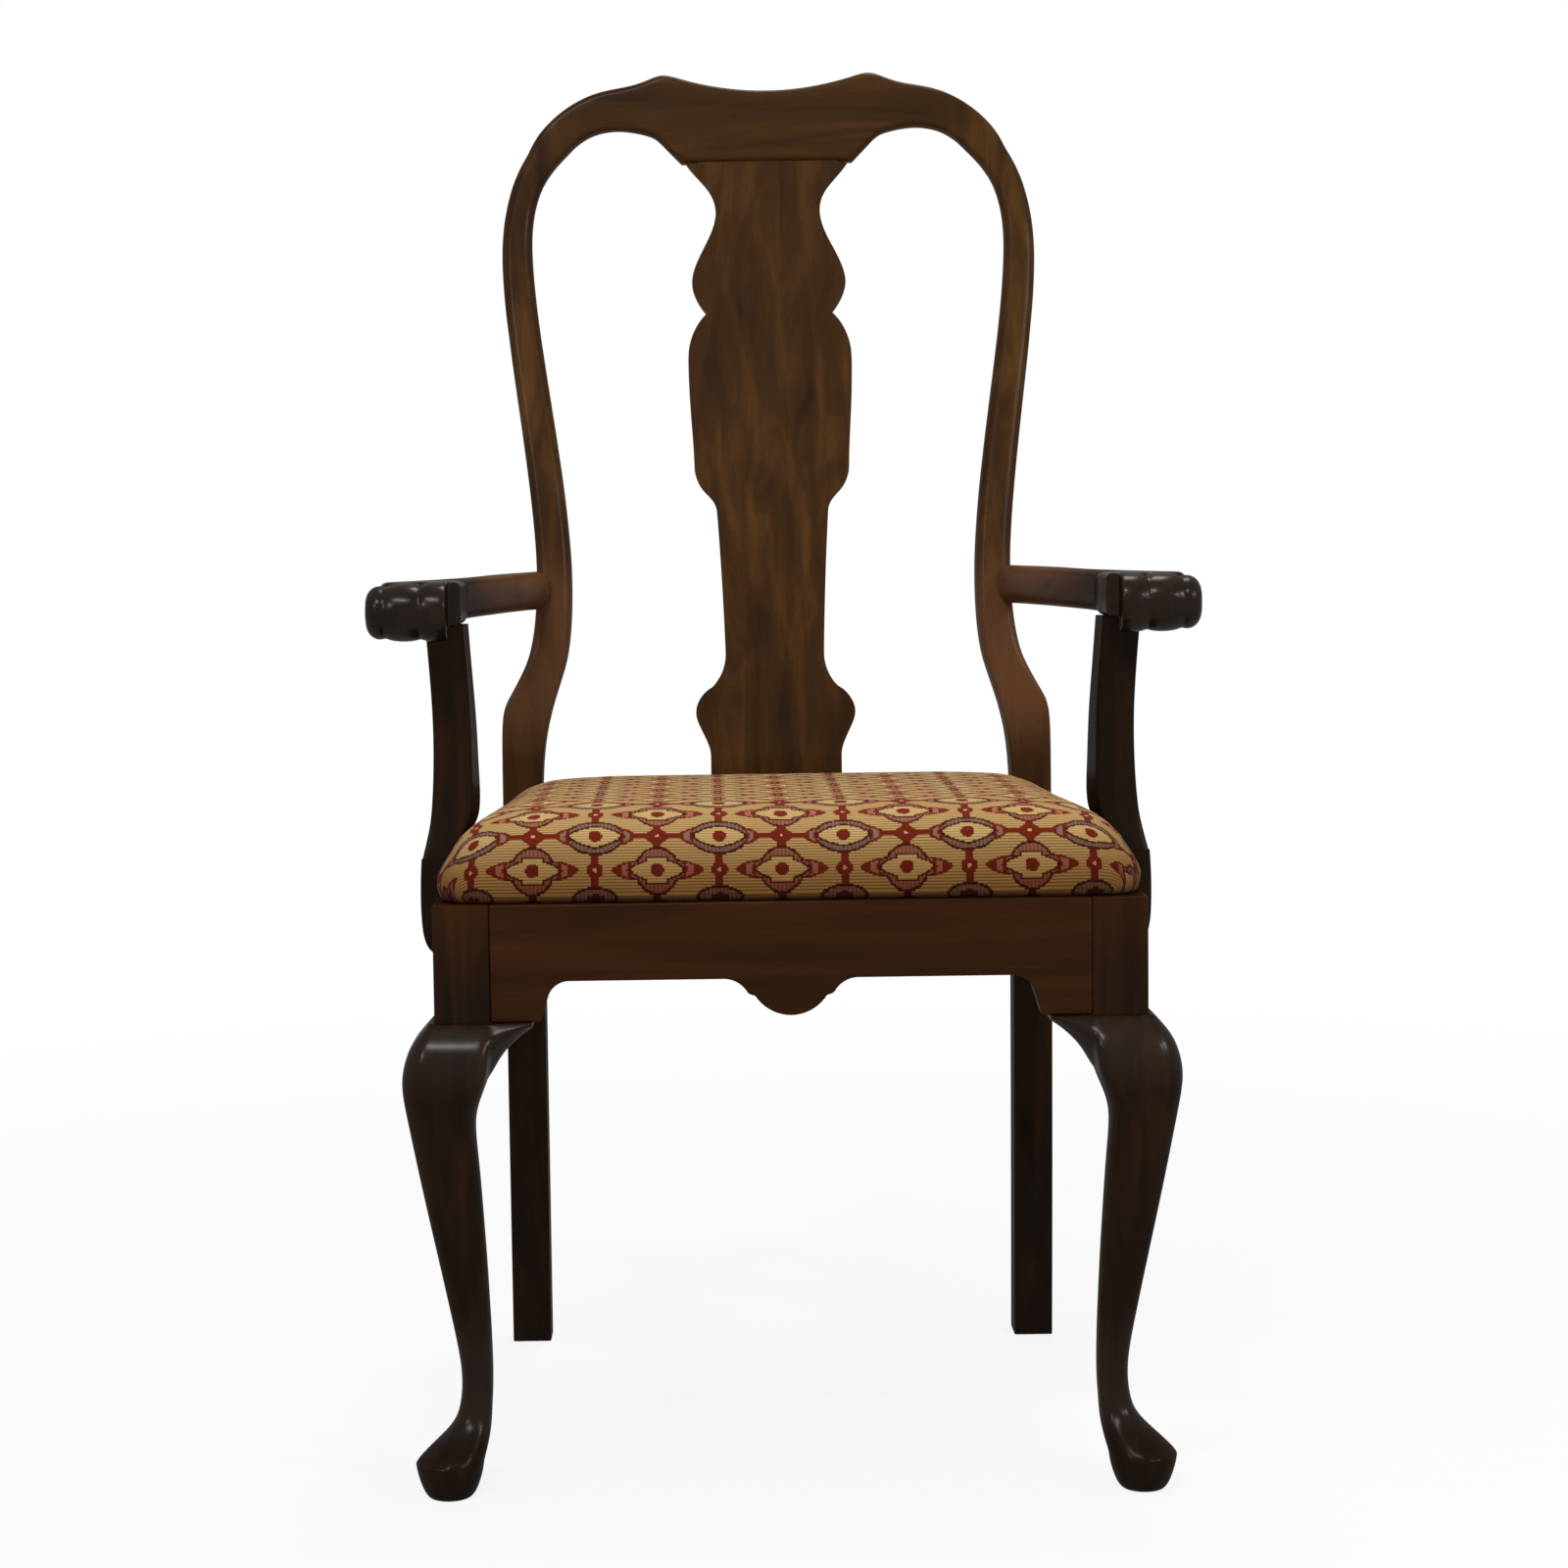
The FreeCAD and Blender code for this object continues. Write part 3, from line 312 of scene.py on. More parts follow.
def glue_up(nodes, name, sizes):
    """Copies of CAD nodes glued together and carved over as one piece."""
    full_share = 1.4
    fade_low = 0.02
    fade_high = 0.004
    piece = join([carve(node, name if node == nodes[0] else name + "_part", sizes) for node in nodes])
    carve_over(piece, sizes)
    place = places_of(piece)
    near = np.minimum(abs(abs(place[:, 0]) - sizes.joint_out), abs(place[:, 1] + sizes.joint_front))
    near = np.clip(full_share - near / sizes.joint_blend, 0, 1)
    high = np.clip((place[:, 2] - sizes.joint_low) / fade_low, 0, 1)
    high *= np.clip((sizes.joint_high - place[:, 2]) / fade_high, 0, 1)
    soften(piece, sizes.blend_rounds, near * high)
    bpy.ops.object.shade_smooth()
    return piece


def mount(piece, slot, *nodes):
    """Puts a piece on the chair in place of CAD nodes."""
    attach(piece, BODY)
    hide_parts(*nodes)


def wear(piece, material):
    """Gives a piece one material all over."""
    piece.data.materials.clear()
    piece.data.materials.append(material)


class Sum:
    """A number worked out by the shader, written as a sum in Python."""

    def __init__(self, finish, socket):
        self.finish = finish
        self.socket = socket

    def math(self, operation, *others):
        """One Math node on this number and the others."""
        return self.finish.node("ShaderNodeMath", {"operation": operation}, {
            index: part for index, part in enumerate((self, *others))
        })

    def __add__(self, other):
        return self.math("ADD", other)

    __radd__ = __add__

    def __sub__(self, other):
        return self.math("SUBTRACT", other)

    def __rsub__(self, other):
        return self.finish.number(other).math("SUBTRACT", self)

    def __mul__(self, other):
        return self.math("MULTIPLY", other)

    __rmul__ = __mul__

    def __truediv__(self, other):
        return self.math("DIVIDE", other)

    def __pow__(self, other):
        return self.math("POWER", other)

    def __abs__(self):
        return self.math("ABSOLUTE")

    def __lt__(self, other):
        return self.math("LESS_THAN", other)

    def __gt__(self, other):
        return self.math("GREATER_THAN", other)


class Finish:
    """The nodes of a material or of the world, with one method for every node."""

    def __init__(self, owner):
        owner.use_nodes = True
        self.tree = owner.node_tree
        self.tree.nodes.clear()

    def put(self, socket, part):
        """Links a Sum to a socket, or sets the socket's own value."""
        if isinstance(part, Sum):
            self.tree.links.new(part.socket, socket)
        else:
            socket.default_value = part

    def node(self, kind, settings=None, inputs=None, output=0):
        """A node of this kind, with its settings made first and then its sockets."""
        node = self.tree.nodes.new(kind)
        for key, value in (settings or {}).items():
            if key == "stops":
                set_stops(node.color_ramp, value)
            else:
                setattr(node, key, value)
        for key, part in (inputs or {}).items():
            self.put(node.inputs[key], part)
        return Sum(self, node.outputs[output]) if node.outputs else None

    def number(self, value):
        """A plain number as a Sum."""
        return self.node("ShaderNodeMath", {"operation": "ADD"}, {0: value, 1: 0.0})

    def place(self, scale=(1, 1, 1)):
        """The piece's own coordinates, scaled."""
        where = self.node("ShaderNodeTexCoord", output="Object")
        return self.node("ShaderNodeMapping", inputs={"Vector": where, "Scale": scale})

    def part_of(self, vector, axis):
        """One of a vector's three numbers, X, Y or Z."""
        return self.node("ShaderNodeSeparateXYZ", inputs={0: vector}, output=axis)

    def noise(self, vector, scale, detail=2.0, roughness=0.5, distortion=0.0):
        """Smooth random figure, from 0 to 1."""
        return self.node("ShaderNodeTexNoise", inputs={
            "Vector": vector, "Scale": scale, "Detail": detail, "Roughness": roughness,
            "Distortion": distortion,
        })

    def mix(self, share, first, second, how="MIX"):
        """Two colours mixed."""
        return self.node("ShaderNodeMix", {"data_type": "RGBA", "blend_type": how}, {
            0: share, 6: first, 7: second,
        }, output=2)

    def spread(self, value, low, high):
        """0 below low, 1 above high and smooth between."""
        return self.node("ShaderNodeMapRange", {"interpolation_type": "SMOOTHSTEP"}, {
            "Value": value, "From Min": low, "From Max": high,
        })

    def bump(self, height, distance, strength=1.0):
        """Relief for the Normal socket."""
        return self.node("ShaderNodeBump", inputs={
            "Strength": strength, "Distance": distance, "Height": height,
        })

    def seen_plainly(self):
        """1 for rays from the camera, or sent on by gloss or glass, and 0 for light."""
        rays = [self.node("ShaderNodeLightPath", output=kind) for kind in (
            "Is Camera Ray", "Is Glossy Ray", "Is Transmission Ray",
        )]
        return (rays[0] + rays[1] + rays[2]).math("MINIMUM", 1.0)

    def coat(self, **sockets):
        """The main shader; an underscore stands for a space in a socket's name."""
        return self.node("ShaderNodeBsdfPrincipled", inputs={
            key.replace("_", " "): part for key, part in sockets.items()
        })

    def close(self, shader, kind="ShaderNodeOutputMaterial"):
        """Ends the tree in its output."""
        self.node(kind, inputs={"Surface": shader})


def new_finish(name):
    """A material and the Finish that makes its nodes."""
    material = bpy.data.materials.new(name)
    return material, Finish(material)


def set_stops(ramp, stops):
    """Gives a ramp its stops, each a place and a colour."""
    while len(ramp.elements) > 1:
        ramp.elements.remove(ramp.elements[-1])
    for index, (place, colour) in enumerate(stops):
        stop = ramp.elements[0] if index == 0 else ramp.elements.new(place)
        stop.position = place
        stop.color = colour


BACK_SHADES = ("back_light", "back_mid", "back_dark")
RAIL_SHADES = ("rail_light", "rail_mid", "rail_dark")
LEG_SHADES = ("leg_light", "leg_mid", "leg_dark")

# Stretches of a piece: the axis, and where on it a change starts, is full, is last full and has ended
# On the stiles between arm and seat the lighter brown is painted light
STILE_LIGHT = ("Z", 0.5, 0.56, 0.63, 0.7)
SLEEVE_WEAR = ("Y", -0.08, 0.12, 1.0, 1.1)
HAND_POLISH = ("Y", -1.0, -0.9, -0.13, -0.07)
KNEE_POLISH = ("Z", 0.29, 0.325, 0.345, 0.35)
ANKLE_POLISH = ("Z", 0.035, 0.055, 0.09, 0.14)

# Where the crest's grain turns upright, from the middle, and where the shades change below the seat
GRAIN_TURN = (0.13, 0.2)
SHADE_CHANGE = (0.355, 0.46)


def grain_scale(way, width, length):
    """Scale of a figure that is this wide across the grain and this long along it."""
    scale = [1 / width] * 3
    scale["XYZ".index(way)] = 1 / length
    return scale


def wood_tone(finish, wood, shades, figure):
    """Streaks of three shades of one stain."""
    light, mid, dark = (getattr(wood, shade) for shade in shades)
    return finish.node("ShaderNodeValToRGB", {"stops": (
        (0.3, dark), (0.5, mid), (0.72, light),
    )}, {"Fac": figure})


def stained_wood(name, grain, shades, lower=None, turns=False, worn_and_lit=None, burnished=()):
    """Stained and polished hardwood whose grain runs along one axis.

    Lower names other shades below the seat. Where it turns, the grain of the outer ends runs upright,
    as in the stiles. One stretch takes a lighter brown, rubbed wear on the arms and painted light on the
    stiles, and burnished holds any number.
    """
    wood = bpy.context.scene.chair_wood
    material, finish = new_finish(name)

    def run_of_grain(way):
        """Streaks and pores whose length lies along one axis."""
        streak_place = finish.place(grain_scale(way, wood.streak_width, wood.streak_length))
        pore_place = finish.place(grain_scale(way, wood.pore_width, wood.pore_length))
        return (
            finish.noise(streak_place, scale=1.0, detail=4.0, roughness=0.55, distortion=0.6),
            finish.noise(pore_place, scale=1.0, detail=2.0, roughness=0.6),
        )

    def stretch(axis, start, full, last, end):
        """1 between two places on an axis, fading out beyond them."""
        along = finish.part_of(finish.place(), axis)
        return finish.spread(along, start, full) * (1 - finish.spread(along, last, end))

    streaks, pores = run_of_grain(grain)
    if turns:
        outer = finish.spread(abs(finish.part_of(finish.place(), "X")), *GRAIN_TURN)
        upright = run_of_grain("Z")
        streaks = streaks * (1 - outer) + upright[0] * outer
        pores = pores * (1 - outer) + upright[1] * outer
    clouds = finish.noise(finish.place(), scale=7.0)
    figure = streaks * 0.75 + clouds * 0.25
    tone = wood_tone(finish, wood, shades, figure)
    if lower:
        upper = finish.spread(finish.part_of(finish.place(), "Z"), *SHADE_CHANGE)
        tone = finish.mix(upper, wood_tone(finish, wood, lower, figure), tone)
    # A lighter brown mixed in: rubbed wear on the arms, painted light on the lower stiles
    if worn_and_lit:
        tone = finish.mix(stretch(*worn_and_lit) * (0.2 + figure), tone, wood.worn_and_lit)
    deep = finish.spread(pores, 0.62, 0.72)
    colour = finish.mix(deep * 0.45, tone, getattr(wood, shades[2]))
    gloss = 0.8 + streaks * 0.4 - deep * 0.5
    for place in burnished:
        gloss = gloss + stretch(*place) * wood.burnish
    finish.close(finish.coat(
        Base_Color=colour,
        Roughness=0.5 + (streaks - 0.5) * 0.12 + deep * 0.15,
        Specular_IOR_Level=0.0,
        Coat_Weight=gloss * wood.polish,
        Coat_Roughness=wood.sheen,
        Normal=finish.bump(1 - deep, wood.pore_depth, 0.4),
    ))
    return material


def bare_wood(name, grain):
    """Unstained wood inside the seat."""
    wood = bpy.context.scene.chair_wood
    material, finish = new_finish(name)
    place = finish.place(grain_scale(grain, wood.streak_width, wood.streak_length))
    streaks = finish.noise(place, scale=1.5, detail=5.0, roughness=0.6, distortion=0.4)
    colour = finish.mix(finish.spread(streaks, 0.35, 0.65), wood.bare_dark, wood.bare_light)
    finish.close(finish.coat(
        Base_Color=colour, Roughness=0.62 + streaks * 0.15, Normal=finish.bump(streaks, wood.pore_depth),
    ))
    return material


def steel_finish():
    """Plated steel of the screws."""
    material, finish = new_finish("plated_steel")
    wear_marks = finish.noise(finish.place(), scale=900.0, detail=3.0)
    finish.close(finish.coat(
        Base_Color=finish.mix(wear_marks, bpy.context.scene.chair_small.steel, paint(120, 116, 108)),
        Metallic=1.0, Roughness=0.28 + wear_marks * 0.2,
    ))
    return material


def lining_cloth():
    """Thin dark cloth tacked below the seat."""
    material, finish = new_finish("lining_cloth")
    across = 1800
    along = 120
    thread_depth = 0.0002
    warp = finish.noise(finish.place((across, along, along)), scale=1.0, detail=1.0)
    weft = finish.noise(finish.place((along, across, along)), scale=1.0, detail=1.0)
    threads = warp + weft
    lining = bpy.context.scene.chair_small.lining
    colour = finish.mix(finish.spread(threads, 0.8, 1.2), lining, paint(62, 59, 58))
    relief = finish.bump(threads, thread_depth, 0.5)
    finish.close(finish.coat(Base_Color=colour, Roughness=0.9, Normal=relief))
    return material


def woven_cloth():
    """Seat cloth: rows of rose and mauve medallions on gold, with red stars and dots between them."""
    cloth = bpy.context.scene.chair_cloth
    material, finish = new_finish("woven_cloth")
    run = finish.node("ShaderNodeUVMap", {"uv_map": "cloth_run"})
    across = finish.part_of(run, "X") + cloth.shift_across
    up = finish.part_of(run, "Y") + cloth.shift_up
    column = across.math("SNAP", cloth.thread_width) / cloth.repeat_width
    row = up.math("SNAP", cloth.pick_height) / cloth.repeat_height
    near_x = abs(column - column.math("ROUND"))
    near_y = abs(row - row.math("ROUND"))
    rose_row = (near_x + near_y) < 0.5
    mauve_row = 1 - rose_row
    # From here on the cloth is measured in millimetres, from the middle of the nearest medallion and
    # from the places beside and above it
    wide = cloth.repeat_width * 1000
    high = cloth.repeat_height * 1000
    from_x = (near_x * rose_row + (0.5 - near_x) * mauve_row) * wide
    from_y = (near_y * rose_row + (0.5 - near_y) * mauve_row) * high
    beside = abs(from_x - wide / 2)
    above = abs(from_y - high / 2)
    # A star stands above a rose medallion and beside a mauve one, and a dot the other way round
    star_x = from_x * rose_row + beside * mauve_row
    star_y = above * rose_row + from_y * mauve_row
    dot_x = beside * rose_row + from_x * mauve_row
    dot_y = from_y * rose_row + above * mauve_row

    thin = (up * (2 * math.pi / cloth.rib_pitch)).math("SINE") * 0.5 + 0.5
    gaps = (1 - thin) ** 3
    hatch = (across * (2 * math.pi / cloth.hatch_pitch)).math("SINE") * 0.5 + 0.5

    # Half a width and half a height of each motif
    rose_lobe = (14.5, 16)
    rose_ear = (31, 6.4)
    rose_field = (18.5, 7)
    rose_step = (7, 9)
    mauve_lobe = (19.5, 13)
    mauve_ear = (27, 7.5)
    mauve_field = (18, 8.5)
    star_bar = (20, 2.1)
    star_post = (3.2, 12)
    star_body = (11, 9)
    dot_body = (6, 5.8)
    dot_post = (3, 14)
    ear_start = 18.5
    tip_start = 26
    heart = 5
    star_eye = 1.3
    dot_eye = 1.4

    def either(*shapes):
        """The union of some shapes."""
        whole = shapes[0]
        for shape in shapes[1:]:
            whole = whole.math("MAXIMUM", shape)
        return whole

    def oval(x, y, wide_by, high_by):
        """An ellipse around the middle of x and y."""
        return (x / wide_by) ** 2 + (y / high_by) ** 2 < 1

    def medallion(grow):
        """Lobe and two blunt ears, grown by some millimetres."""
        rose = either(
            oval(from_x, from_y, rose_lobe[0] + grow, rose_lobe[1] + grow),
            (from_x / (rose_ear[0] + grow * 1.5)) ** 3 + (from_y / (rose_ear[1] + grow)) ** 1.3 < 1,
        )
        mauve = either(
            oval(from_x, from_y, mauve_lobe[0] + grow, mauve_lobe[1] + grow),
            (from_x / (mauve_ear[0] + grow * 1.5)) ** 3 + (from_y / (mauve_ear[1] + grow)) ** 1.5 < 1,
        )
        return rose * rose_row + mauve * mauve_row

    def field(grow):
        """Gold middle of a medallion: stepped in the rose rows, almond shaped in the mauve ones."""
        stepped = either(
            (from_x / (rose_field[0] + grow * 1.3)) ** 2 + (from_y / (rose_field[1] + grow)) ** 1.4 < 1,
            (from_x < rose_step[0] + grow) * (from_y < rose_step[1] + grow),
        )
        wide_part = (from_x / (mauve_field[0] + grow * 1.6)) ** 1.3
        almond = wide_part + (from_y / (mauve_field[1] + grow)) ** 1.6 < 1
        return stepped * rose_row + almond * mauve_row

    line = cloth.line_width * 1000
    ears = from_x > ear_start
    ear_line = abs(from_x - ear_start - (8 - from_y) * 0.3) < line * 0.6
    tips = from_x > tip_start - mauve_row
    star = either(
        (star_x < star_bar[0]) * (star_y < star_bar[1]),
        (star_x < star_post[0]) * (star_y < star_post[1]),
        star_x / star_body[0] + star_y / star_body[1] < 1,
    )
    dot = either(oval(dot_x, dot_y, *dot_body), (dot_x < dot_post[0]) * (dot_y < dot_post[1]))
    eyes = either(oval(star_x, star_y, star_eye, star_eye), oval(dot_x, dot_y, dot_eye, dot_eye))

    gold = finish.mix(gaps * 0.7, cloth.ground, cloth.umber)
    shade = finish.mix(rose_row, cloth.mauve, cloth.rose)
    ring = finish.mix(hatch * 0.5, shade, finish.mix(ears, cloth.umber, shade))
    colour = finish.mix(either(dot, star), gold, cloth.madder)
    colour = finish.mix(medallion(line), colour, finish.mix(ears, cloth.umber, cloth.madder))
    colour = finish.mix(medallion(0), colour, ring)
    colour = finish.mix(medallion(0) * either(tips, ear_line), colour, cloth.madder)
    colour = finish.mix(field(line * 0.9), colour, cloth.umber)
    colour = finish.mix(field(0), colour, finish.mix(gaps * 0.5, cloth.cream, cloth.umber))
    colour = finish.mix(oval(from_x, from_y, heart, heart), colour, cloth.madder)
    colour = finish.mix(eyes, colour, cloth.cream)
    fuzz = finish.noise(finish.place(), scale=1400.0)
    colour = finish.mix(fuzz * 0.35, colour, paint(90, 62, 38), "MULTIPLY")
    fade = finish.noise(finish.place(), scale=9.0)
    colour = finish.mix(fade * 0.25, colour, paint(176, 144, 108), "MULTIPLY")
    # Painted shade: the cloth is darkened towards its lower edge, where it rounds under towards the rails
    painted_shade_full = 0.44
    painted_shade_ends = 0.5
    painted_shade = 1 - finish.spread(finish.part_of(finish.place(), "Z"), painted_shade_full, painted_shade_ends)
    colour = finish.mix(painted_shade * 0.85, colour, paint(148, 118, 78), "MULTIPLY")
    relief = thin * 0.7 + fuzz * 0.3 + medallion(0) * 0.25
    finish.close(finish.coat(
        Base_Color=colour,
        Roughness=0.82 + fuzz * 0.12,
        Specular_IOR_Level=0.05,
        Sheen_Weight=0.02,
        Normal=finish.bump(relief, cloth.rib_depth, 0.7),
    ))
    return material


def floor_finish():
    """Pale floor that is white to the camera and keeps a soft shadow."""
    small = bpy.context.scene.chair_small
    full_shadow = 0.7
    material, finish = new_finish("studio_floor")
    speckle = finish.noise(finish.place(), scale=30.0)
    ground = finish.coat(
        Base_Color=finish.mix(speckle * 0.02, small.floor, paint(190, 190, 190)),
        Roughness=0.9, Specular_IOR_Level=0.1,
    )
    glow = finish.node("ShaderNodeEmission")
    away = finish.node("ShaderNodeVectorMath", {"operation": "LENGTH"}, {0: finish.place()}, output="Value")
    near = finish.spread(away, small.shadow_reach, full_shadow)
    white = finish.seen_plainly() * (1 - near * small.shadow)
    finish.close(finish.node("ShaderNodeMixShader", inputs={0: white, 1: ground, 2: glow}))
    return material


class CHAIR_OT_stage(Operator):
    """Lays the floor and sets the lamps, the backdrop and the camera"""

    bl_idname = "chair.stage"
    bl_label = "Studio stage"

    def execute(self, context):
        small = context.scene.chair_small
        deselect_all()
        bpy.ops.mesh.primitive_plane_add(size=small.floor_width, location=(0, 0, 0))
        floor = context.object
        floor.name = "studio_floor"
        wear(floor, floor_finish())
        for name, place, aim, width, height, watts in (
            ("key_lamp", (-0.7, -1.9, 2.9), (0.0, 0.0, 0.55), 1.1, 0.3, 46.0),
            ("side_lamp", (2.2, -1.5, 1.9), (0.0, 0.0, 0.6), 0.25, 0.4, 20.0),
            ("top_lamp", (0.3, 0.9, 3.0), (0.0, 0.1, 0.6), 0.8, 0.8, 38.0),
            ("left_glint", (-1.5, -1.9, 1.9), (0.0, 0.0, 0.5), 0.16, 0.3, 12.0),
            ("right_glint", (1.5, -1.9, 1.8), (0.0, 0.0, 0.5), 0.16, 0.3, 10.0),
        ):
            bpy.ops.object.light_add(type="AREA", location=place)
            lamp = context.object
            lamp.name = name
            lamp.data.shape = "RECTANGLE"
            lamp.data.size = width
            lamp.data.size_y = height
            lamp.data.energy = watts
            lamp.rotation_euler = (Vector(place) - Vector(aim)).to_track_quat("Z", "Y").to_euler()
        world = context.scene.world or bpy.data.worlds.new("studio_world")
        context.scene.world = world
        sky = Finish(world)
        level = small.sky + sky.seen_plainly() * (1 - small.sky)
        white = sky.node("ShaderNodeBackground", inputs={"Color": (1, 1, 1, 1), "Strength": level})
        sky.close(white, "ShaderNodeOutputWorld")

        camera_place = (-0.0547, -2.448965, 0.705)
        camera_tilt = math.pi / 2 - 0.08174
        camera_roll = -0.0139
        camera_lens = 70.59
        camera_sensor = 36
        camera_shift = (0.04571, -0.00419)
        bpy.ops.object.camera_add(location=camera_place)
        camera = context.object
        camera.name = "studio_camera"
        camera.rotation_mode = "ZYX"
        camera.rotation_euler = (camera_tilt, 0, camera_roll)
        camera.data.lens = camera_lens
        camera.data.sensor_width = camera_sensor
        camera.data.shift_x, camera.data.shift_y = camera_shift
        context.scene.camera = camera
        context.scene.view_settings.view_transform = "Standard"
        return {"FINISHED"}


class CHAIR_OT_back(Operator):
    """Carves the crest rail, the splat and its shoe"""

    bl_idname = "chair.back"
    bl_label = "Crest rail and splat"

    def execute(self, context):
        sizes = context.scene.chair_sizes
        for node, grain in (("crest_rail", "X"), ("splat", "Z"), ("splat_shoe", "X")):
            piece = carve(node, "carved_" + node, sizes)
            wear(piece, stained_wood(node + "_wood", grain, BACK_SHADES, turns=node == "crest_rail"))
            mount(piece, "polished_wood", node)
        return {"FINISHED"}


class CHAIR_OT_legs(Operator):
    """Carves the rear legs with their stiles, the front legs and the knee brackets"""

    bl_idname = "chair.legs"
    bl_label = "Legs and knee brackets"

    def execute(self, context):
        sizes = context.scene.chair_sizes
        for side in ("right", "left"):
            stile = "rear_leg_" + side
            piece = carve(stile, "carved_" + stile, sizes)
            # The lighter brown band on the stiles between arm and seat is painted light
            wear(piece, stained_wood(stile + "_wood", "Z", BACK_SHADES, LEG_SHADES, worn_and_lit=STILE_LIGHT))
            mount(piece, "polished_wood", stile)
            nodes = [node + side for node in ("front_leg_", "knee_bracket_front_", "knee_bracket_side_")]
            leg = glue_up(nodes, "carved_" + nodes[0], sizes)
            wear(leg, stained_wood(
                nodes[0] + "_wood", "Z", RAIL_SHADES, LEG_SHADES, burnished=(KNEE_POLISH, ANKLE_POLISH),
            ))
            mount(leg, "polished_wood", *nodes)
        return {"FINISHED"}


class CHAIR_OT_arms(Operator):
    """Carves the scrolled arms and their supports, and sets the screw plugs"""

    bl_idname = "chair.arms"
    bl_label = "Arms and supports"

    def execute(self, context):
        sizes = context.scene.chair_sizes
        behind_hand = 0.03
        for side in ("right", "left"):
            node = "arm_" + side
            arm = carve(node, "carved_" + node, sizes)
            carve_over(arm, sizes)
            past_hand = places_of(arm)[:, 1] - sizes.hand_end
            soften(arm, sizes.arm_rounds, np.clip(past_hand / behind_hand, 0, 1))
            bpy.ops.object.shade_smooth()
            wear(arm, stained_wood(
                node + "_wood", "Y", LEG_SHADES, worn_and_lit=SLEEVE_WEAR, burnished=(HAND_POLISH,),
            ))
            mount(arm, "polished_wood", node)
            node = "arm_support_" + side
            support = carve(node, "carved_" + node, sizes)
            wear(support, stained_wood(node + "_wood", "Z", LEG_SHADES))
            mount(support, "polished_wood", node)
        plugs = carve("arm_screw_plugs", "carved_arm_screw_plugs", sizes)
        wear(plugs, stained_wood("plug_wood", "Y", LEG_SHADES))
        mount(plugs, "polished_wood", "arm_screw_plugs")
        return {"FINISHED"}


class CHAIR_OT_rails(Operator):
    """Carves the four seat rails"""

    bl_idname = "chair.rails"
    bl_label = "Seat rails"

    def execute(self, context):
        sizes = context.scene.chair_sizes
        for node, grain in (
            ("front_seat_rail", "X"), ("rear_seat_rail", "X"),
            ("side_seat_rail_right", "Y"), ("side_seat_rail_left", "Y"),
        ):
            piece = trim(node, "carved_" + node, sizes)
            wear(piece, stained_wood(node + "_wood", grain, RAIL_SHADES))
            mount(piece, "polished_wood", node)
        return {"FINISHED"}


def shrink(piece, low, high, sizes):
    """Makes the pad a little smaller above its base, so that it can swell."""
    place = places_of(piece)
    middle = np.array((low + high) / 2)
    half = np.array((high - low) / 2)
    share = np.clip((place[:, 2] - low.z) / (high.z - low.z), 0, 1)
    for axis in (0, 1):
        place[:, axis] += (middle[axis] - place[:, axis]) / half[axis] * sizes.start_inset * share
    place[:, 2] -= sizes.start_inset * share
    set_places(piece, place)


def swell(piece, low, sizes):
    """Blows the cushion up as cloth; each point's move is short and the base stays put."""
    pressure = 4
    steps = 20
    before = places_of(piece)
    cloth = piece.modifiers.new("Swell", "CLOTH")
    cloth.settings.use_pressure = True
    cloth.settings.uniform_pressure_force = pressure
    cloth.settings.effector_weights.gravity = 0
    cloth.settings.quality = 5
    cloth.point_cache.frame_start = 1
    cloth.point_cache.frame_end = steps
    for step in range(1, steps + 1):
        bpy.context.scene.frame_set(step)
    grown = piece.evaluated_get(bpy.context.evaluated_depsgraph_get())
    after = places_of(grown)
    piece.modifiers.remove(cloth)
    bpy.context.scene.frame_set(1)
    move = after - before
    length = np.linalg.norm(move, axis=1, keepdims=True)
    free = np.clip((before[:, 2:] - low.z) / sizes.tuck_height, 0, 1)
    set_places(piece, before + move * free * np.minimum(1, sizes.swell / np.maximum(length, 1e-9)))


def fit_to_frame(piece, low, high, sizes):
    """Gives the cushion its belly and its lower edge, and keeps its crown under the top of its CAD box.

    The belly bulges at the front and sides. At the back the skirt takes its place, between the stiles.
    """
    skirt_depth = 0.05
    skirt_fade = 0.08
    too_high_kept = 0.2
    place = places_of(piece)
    middle = np.array((low + high) / 2)
    half = np.array((high - low) / 2)
    above = np.clip(place[:, 2] - low.z, 0, None)
    lowest = np.clip(1 - above / sizes.tuck_height, 0, 1)
    belly = np.clip(1 - (above / sizes.belly_height) ** 2, 0, 1) * sizes.belly - lowest ** 2 * sizes.tuck
    skirt = np.clip(1 - above / sizes.skirt_height, 0, 1) ** 2 * sizes.skirt
    ahead = np.clip((high.y - skirt_depth - place[:, 1]) / skirt_fade, 0, 1)
    let_out = belly * ahead + skirt * (1 - ahead)
    for axis in (0, 1):
        place[:, axis] += (place[:, axis] - middle[axis]) / half[axis] * let_out
    pressed = sizes.settle * np.clip(1 - above / sizes.settle_height, 0, 1)
    above = np.clip(above - pressed, 0, None)
    place[:, 2] = low.z + above - sizes.wrap * lowest
    too_high = np.clip(place[:, 2] - (high.z - sizes.crown_rest), 0, None)
    place[:, 2] -= too_high * (1 - too_high_kept)
    place[:, 2] = np.minimum(place[:, 2], high.z)
    set_places(piece, place)


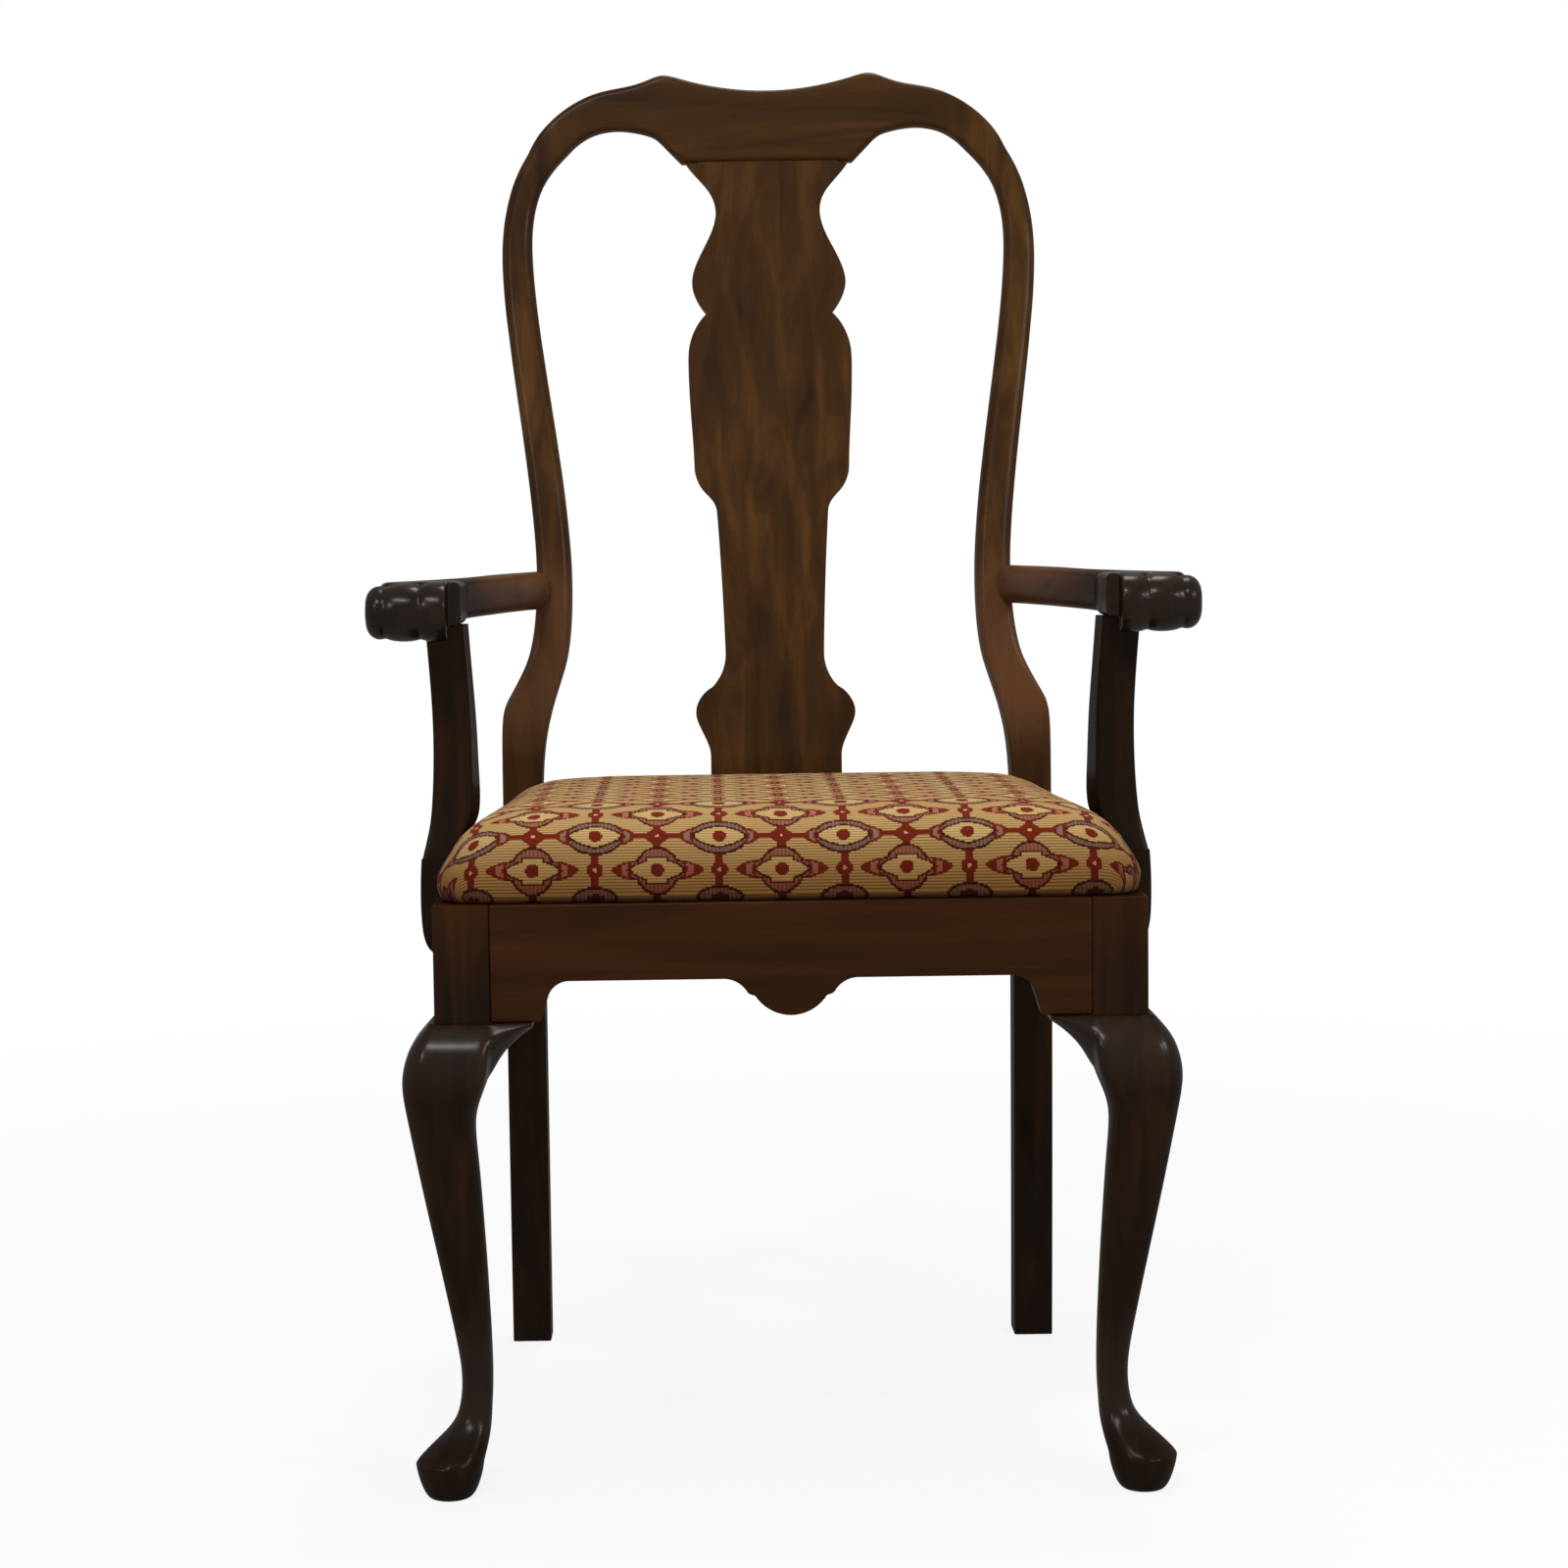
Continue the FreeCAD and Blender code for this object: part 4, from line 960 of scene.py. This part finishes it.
def length_down(place, normal, axis):
    """Heights down one flank of the cushion, and how much longer the cloth is than its plan there."""
    strip_half = 0.01
    steps = 28
    other = 1 - axis
    middle = (place[:, other].max() + place[:, other].min()) / 2
    strip = (abs(place[:, other] - middle) < strip_half) & (normal[:, axis] * (1 - 2 * axis) > 0)
    points = place[strip][:, (axis, 2)]
    levels = np.linspace(points[:, 1].max(), points[:, 1].min(), steps)
    order = np.argsort(points[:, 1])
    out = np.interp(levels, points[order, 1], points[order, 0])
    step_out = np.diff(out)
    longer = np.hypot(step_out, np.diff(levels)) - abs(step_out)
    return levels, np.concatenate([[0], np.cumsum(longer)])


def run_of_cloth(piece):
    """Writes how far each point lies along the cloth, across and from front to back."""
    mesh = piece.data
    place = places_of(piece)
    normal = np.zeros(len(mesh.vertices) * 3)
    mesh.vertices.foreach_get("normal", normal)
    normal = normal.reshape(-1, 3)
    flat = normal[:, 0] ** 2 + normal[:, 1] ** 2 + 1e-6
    run = []
    for axis in (0, 1):
        levels, longer = length_down(place, normal, axis)
        extra = np.interp(place[:, 2], levels[::-1], longer[::-1])
        run.append(place[:, axis] + np.sign(normal[:, axis]) * extra * normal[:, axis] ** 2 / flat)
    corner = np.zeros(len(mesh.loops), int)
    mesh.loops.foreach_get("vertex_index", corner)
    layer = mesh.uv_layers.new(name="cloth_run")
    layer.data.foreach_set("uv", np.stack(run, 1)[corner].ravel())


class CHAIR_OT_cushion(Operator):
    """Upholsters the seat: a crowned pad, blown up as cloth and turned in at its lower edge"""

    bl_idname = "chair.cushion"
    bl_label = "Seat cushion"

    def execute(self, context):
        sizes = context.scene.chair_sizes
        low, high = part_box("seat_cover")
        pad = join([copy_of("seat_foam", "seat_cushion"), copy_of("seat_board", "board_part")])
        shrink(pad, low, high, sizes)
        pad.data.remesh_voxel_size = sizes.voxel
        bpy.ops.object.voxel_remesh()
        swell(pad, low, sizes)
        shape_with(pad, "CORRECTIVE_SMOOTH", use_only_smooth=True, factor=0.5, iterations=6)
        fit_to_frame(pad, low, high, sizes)
        shape_with(pad, "SUBSURF", levels=1, render_levels=1)
        bpy.ops.object.shade_smooth()
        run_of_cloth(pad)
        wear(pad, woven_cloth())
        mount(pad, "seat_fabric", "seat_cover", "seat_foam")
        return {"FINISHED"}


class CHAIR_OT_inside(Operator):
    """Finishes what holds the seat: board, blocks, lining, dowels and screws"""

    bl_idname = "chair.inside"
    bl_label = "Board, blocks and screws"

    def execute(self, context):
        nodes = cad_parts
        board = bare_wood("board_wood", "X")
        wear(nodes["seat_board"], board)
        wear(nodes["crest_dowels"], bare_wood("dowel_wood", "Z"))
        for place in ("front_right", "front_left", "rear_right", "rear_left"):
            wear(nodes["corner_block_" + place], board)
        lining = copy_of("dust_cover", "dust_cloth")
        wear(lining, lining_cloth())
        mount(lining, "lining", "dust_cover")
        steel = steel_finish()
        for node in ("arm_screws", "arm_support_screws", "corner_block_screws", "seat_screws"):
            wear(nodes[node], steel)
        return {"FINISHED"}


class CHAIR_PT_panel(Panel):
    """Lists the chair's pieces and finishes"""

    bl_idname = "CHAIR_PT_panel"
    bl_label = "Dining armchair"
    bl_space_type = "VIEW_3D"
    bl_region_type = "UI"
    bl_category = "Armchair"

    def draw(self, context):
        layout = self.layout
        for operator in OPERATORS:
            layout.operator(operator.bl_idname)
        for name in GROUPS:
            group = getattr(context.scene, name)
            box = layout.box()
            for key in group.bl_rna.properties.keys():
                if key not in ("rna_type", "name"):
                    box.prop(group, key)


OPERATORS = (
    CHAIR_OT_stage, CHAIR_OT_back, CHAIR_OT_legs, CHAIR_OT_arms, CHAIR_OT_rails,
    CHAIR_OT_cushion, CHAIR_OT_inside,
)
GROUPS = {
    "chair_wood": WoodFinish,
    "chair_cloth": ClothFinish,
    "chair_small": SmallFinish,
    "chair_sizes": ChairSizes,
}


def register():
    """Registers the classes and hangs the groups on the scene."""
    for group in GROUPS.values():
        bpy.utils.register_class(group)
    for operator in OPERATORS:
        bpy.utils.register_class(operator)
    bpy.utils.register_class(CHAIR_PT_panel)
    for name, group in GROUPS.items():
        setattr(bpy.types.Scene, name, PointerProperty(type=group))


def unregister():
    """Takes away what register added."""
    for name in GROUPS:
        delattr(bpy.types.Scene, name)
    bpy.utils.unregister_class(CHAIR_PT_panel)
    for operator in reversed(OPERATORS):
        bpy.utils.unregister_class(operator)
    for group in reversed(GROUPS.values()):
        bpy.utils.unregister_class(group)


def main():
    """Builds the dressed chair."""
    register()
    bpy.ops.chair.stage()
    bpy.ops.chair.back()
    bpy.ops.chair.legs()
    bpy.ops.chair.arms()
    bpy.ops.chair.rails()
    bpy.ops.chair.cushion()
    bpy.ops.chair.inside()


if __name__ == "__main__":
    main()
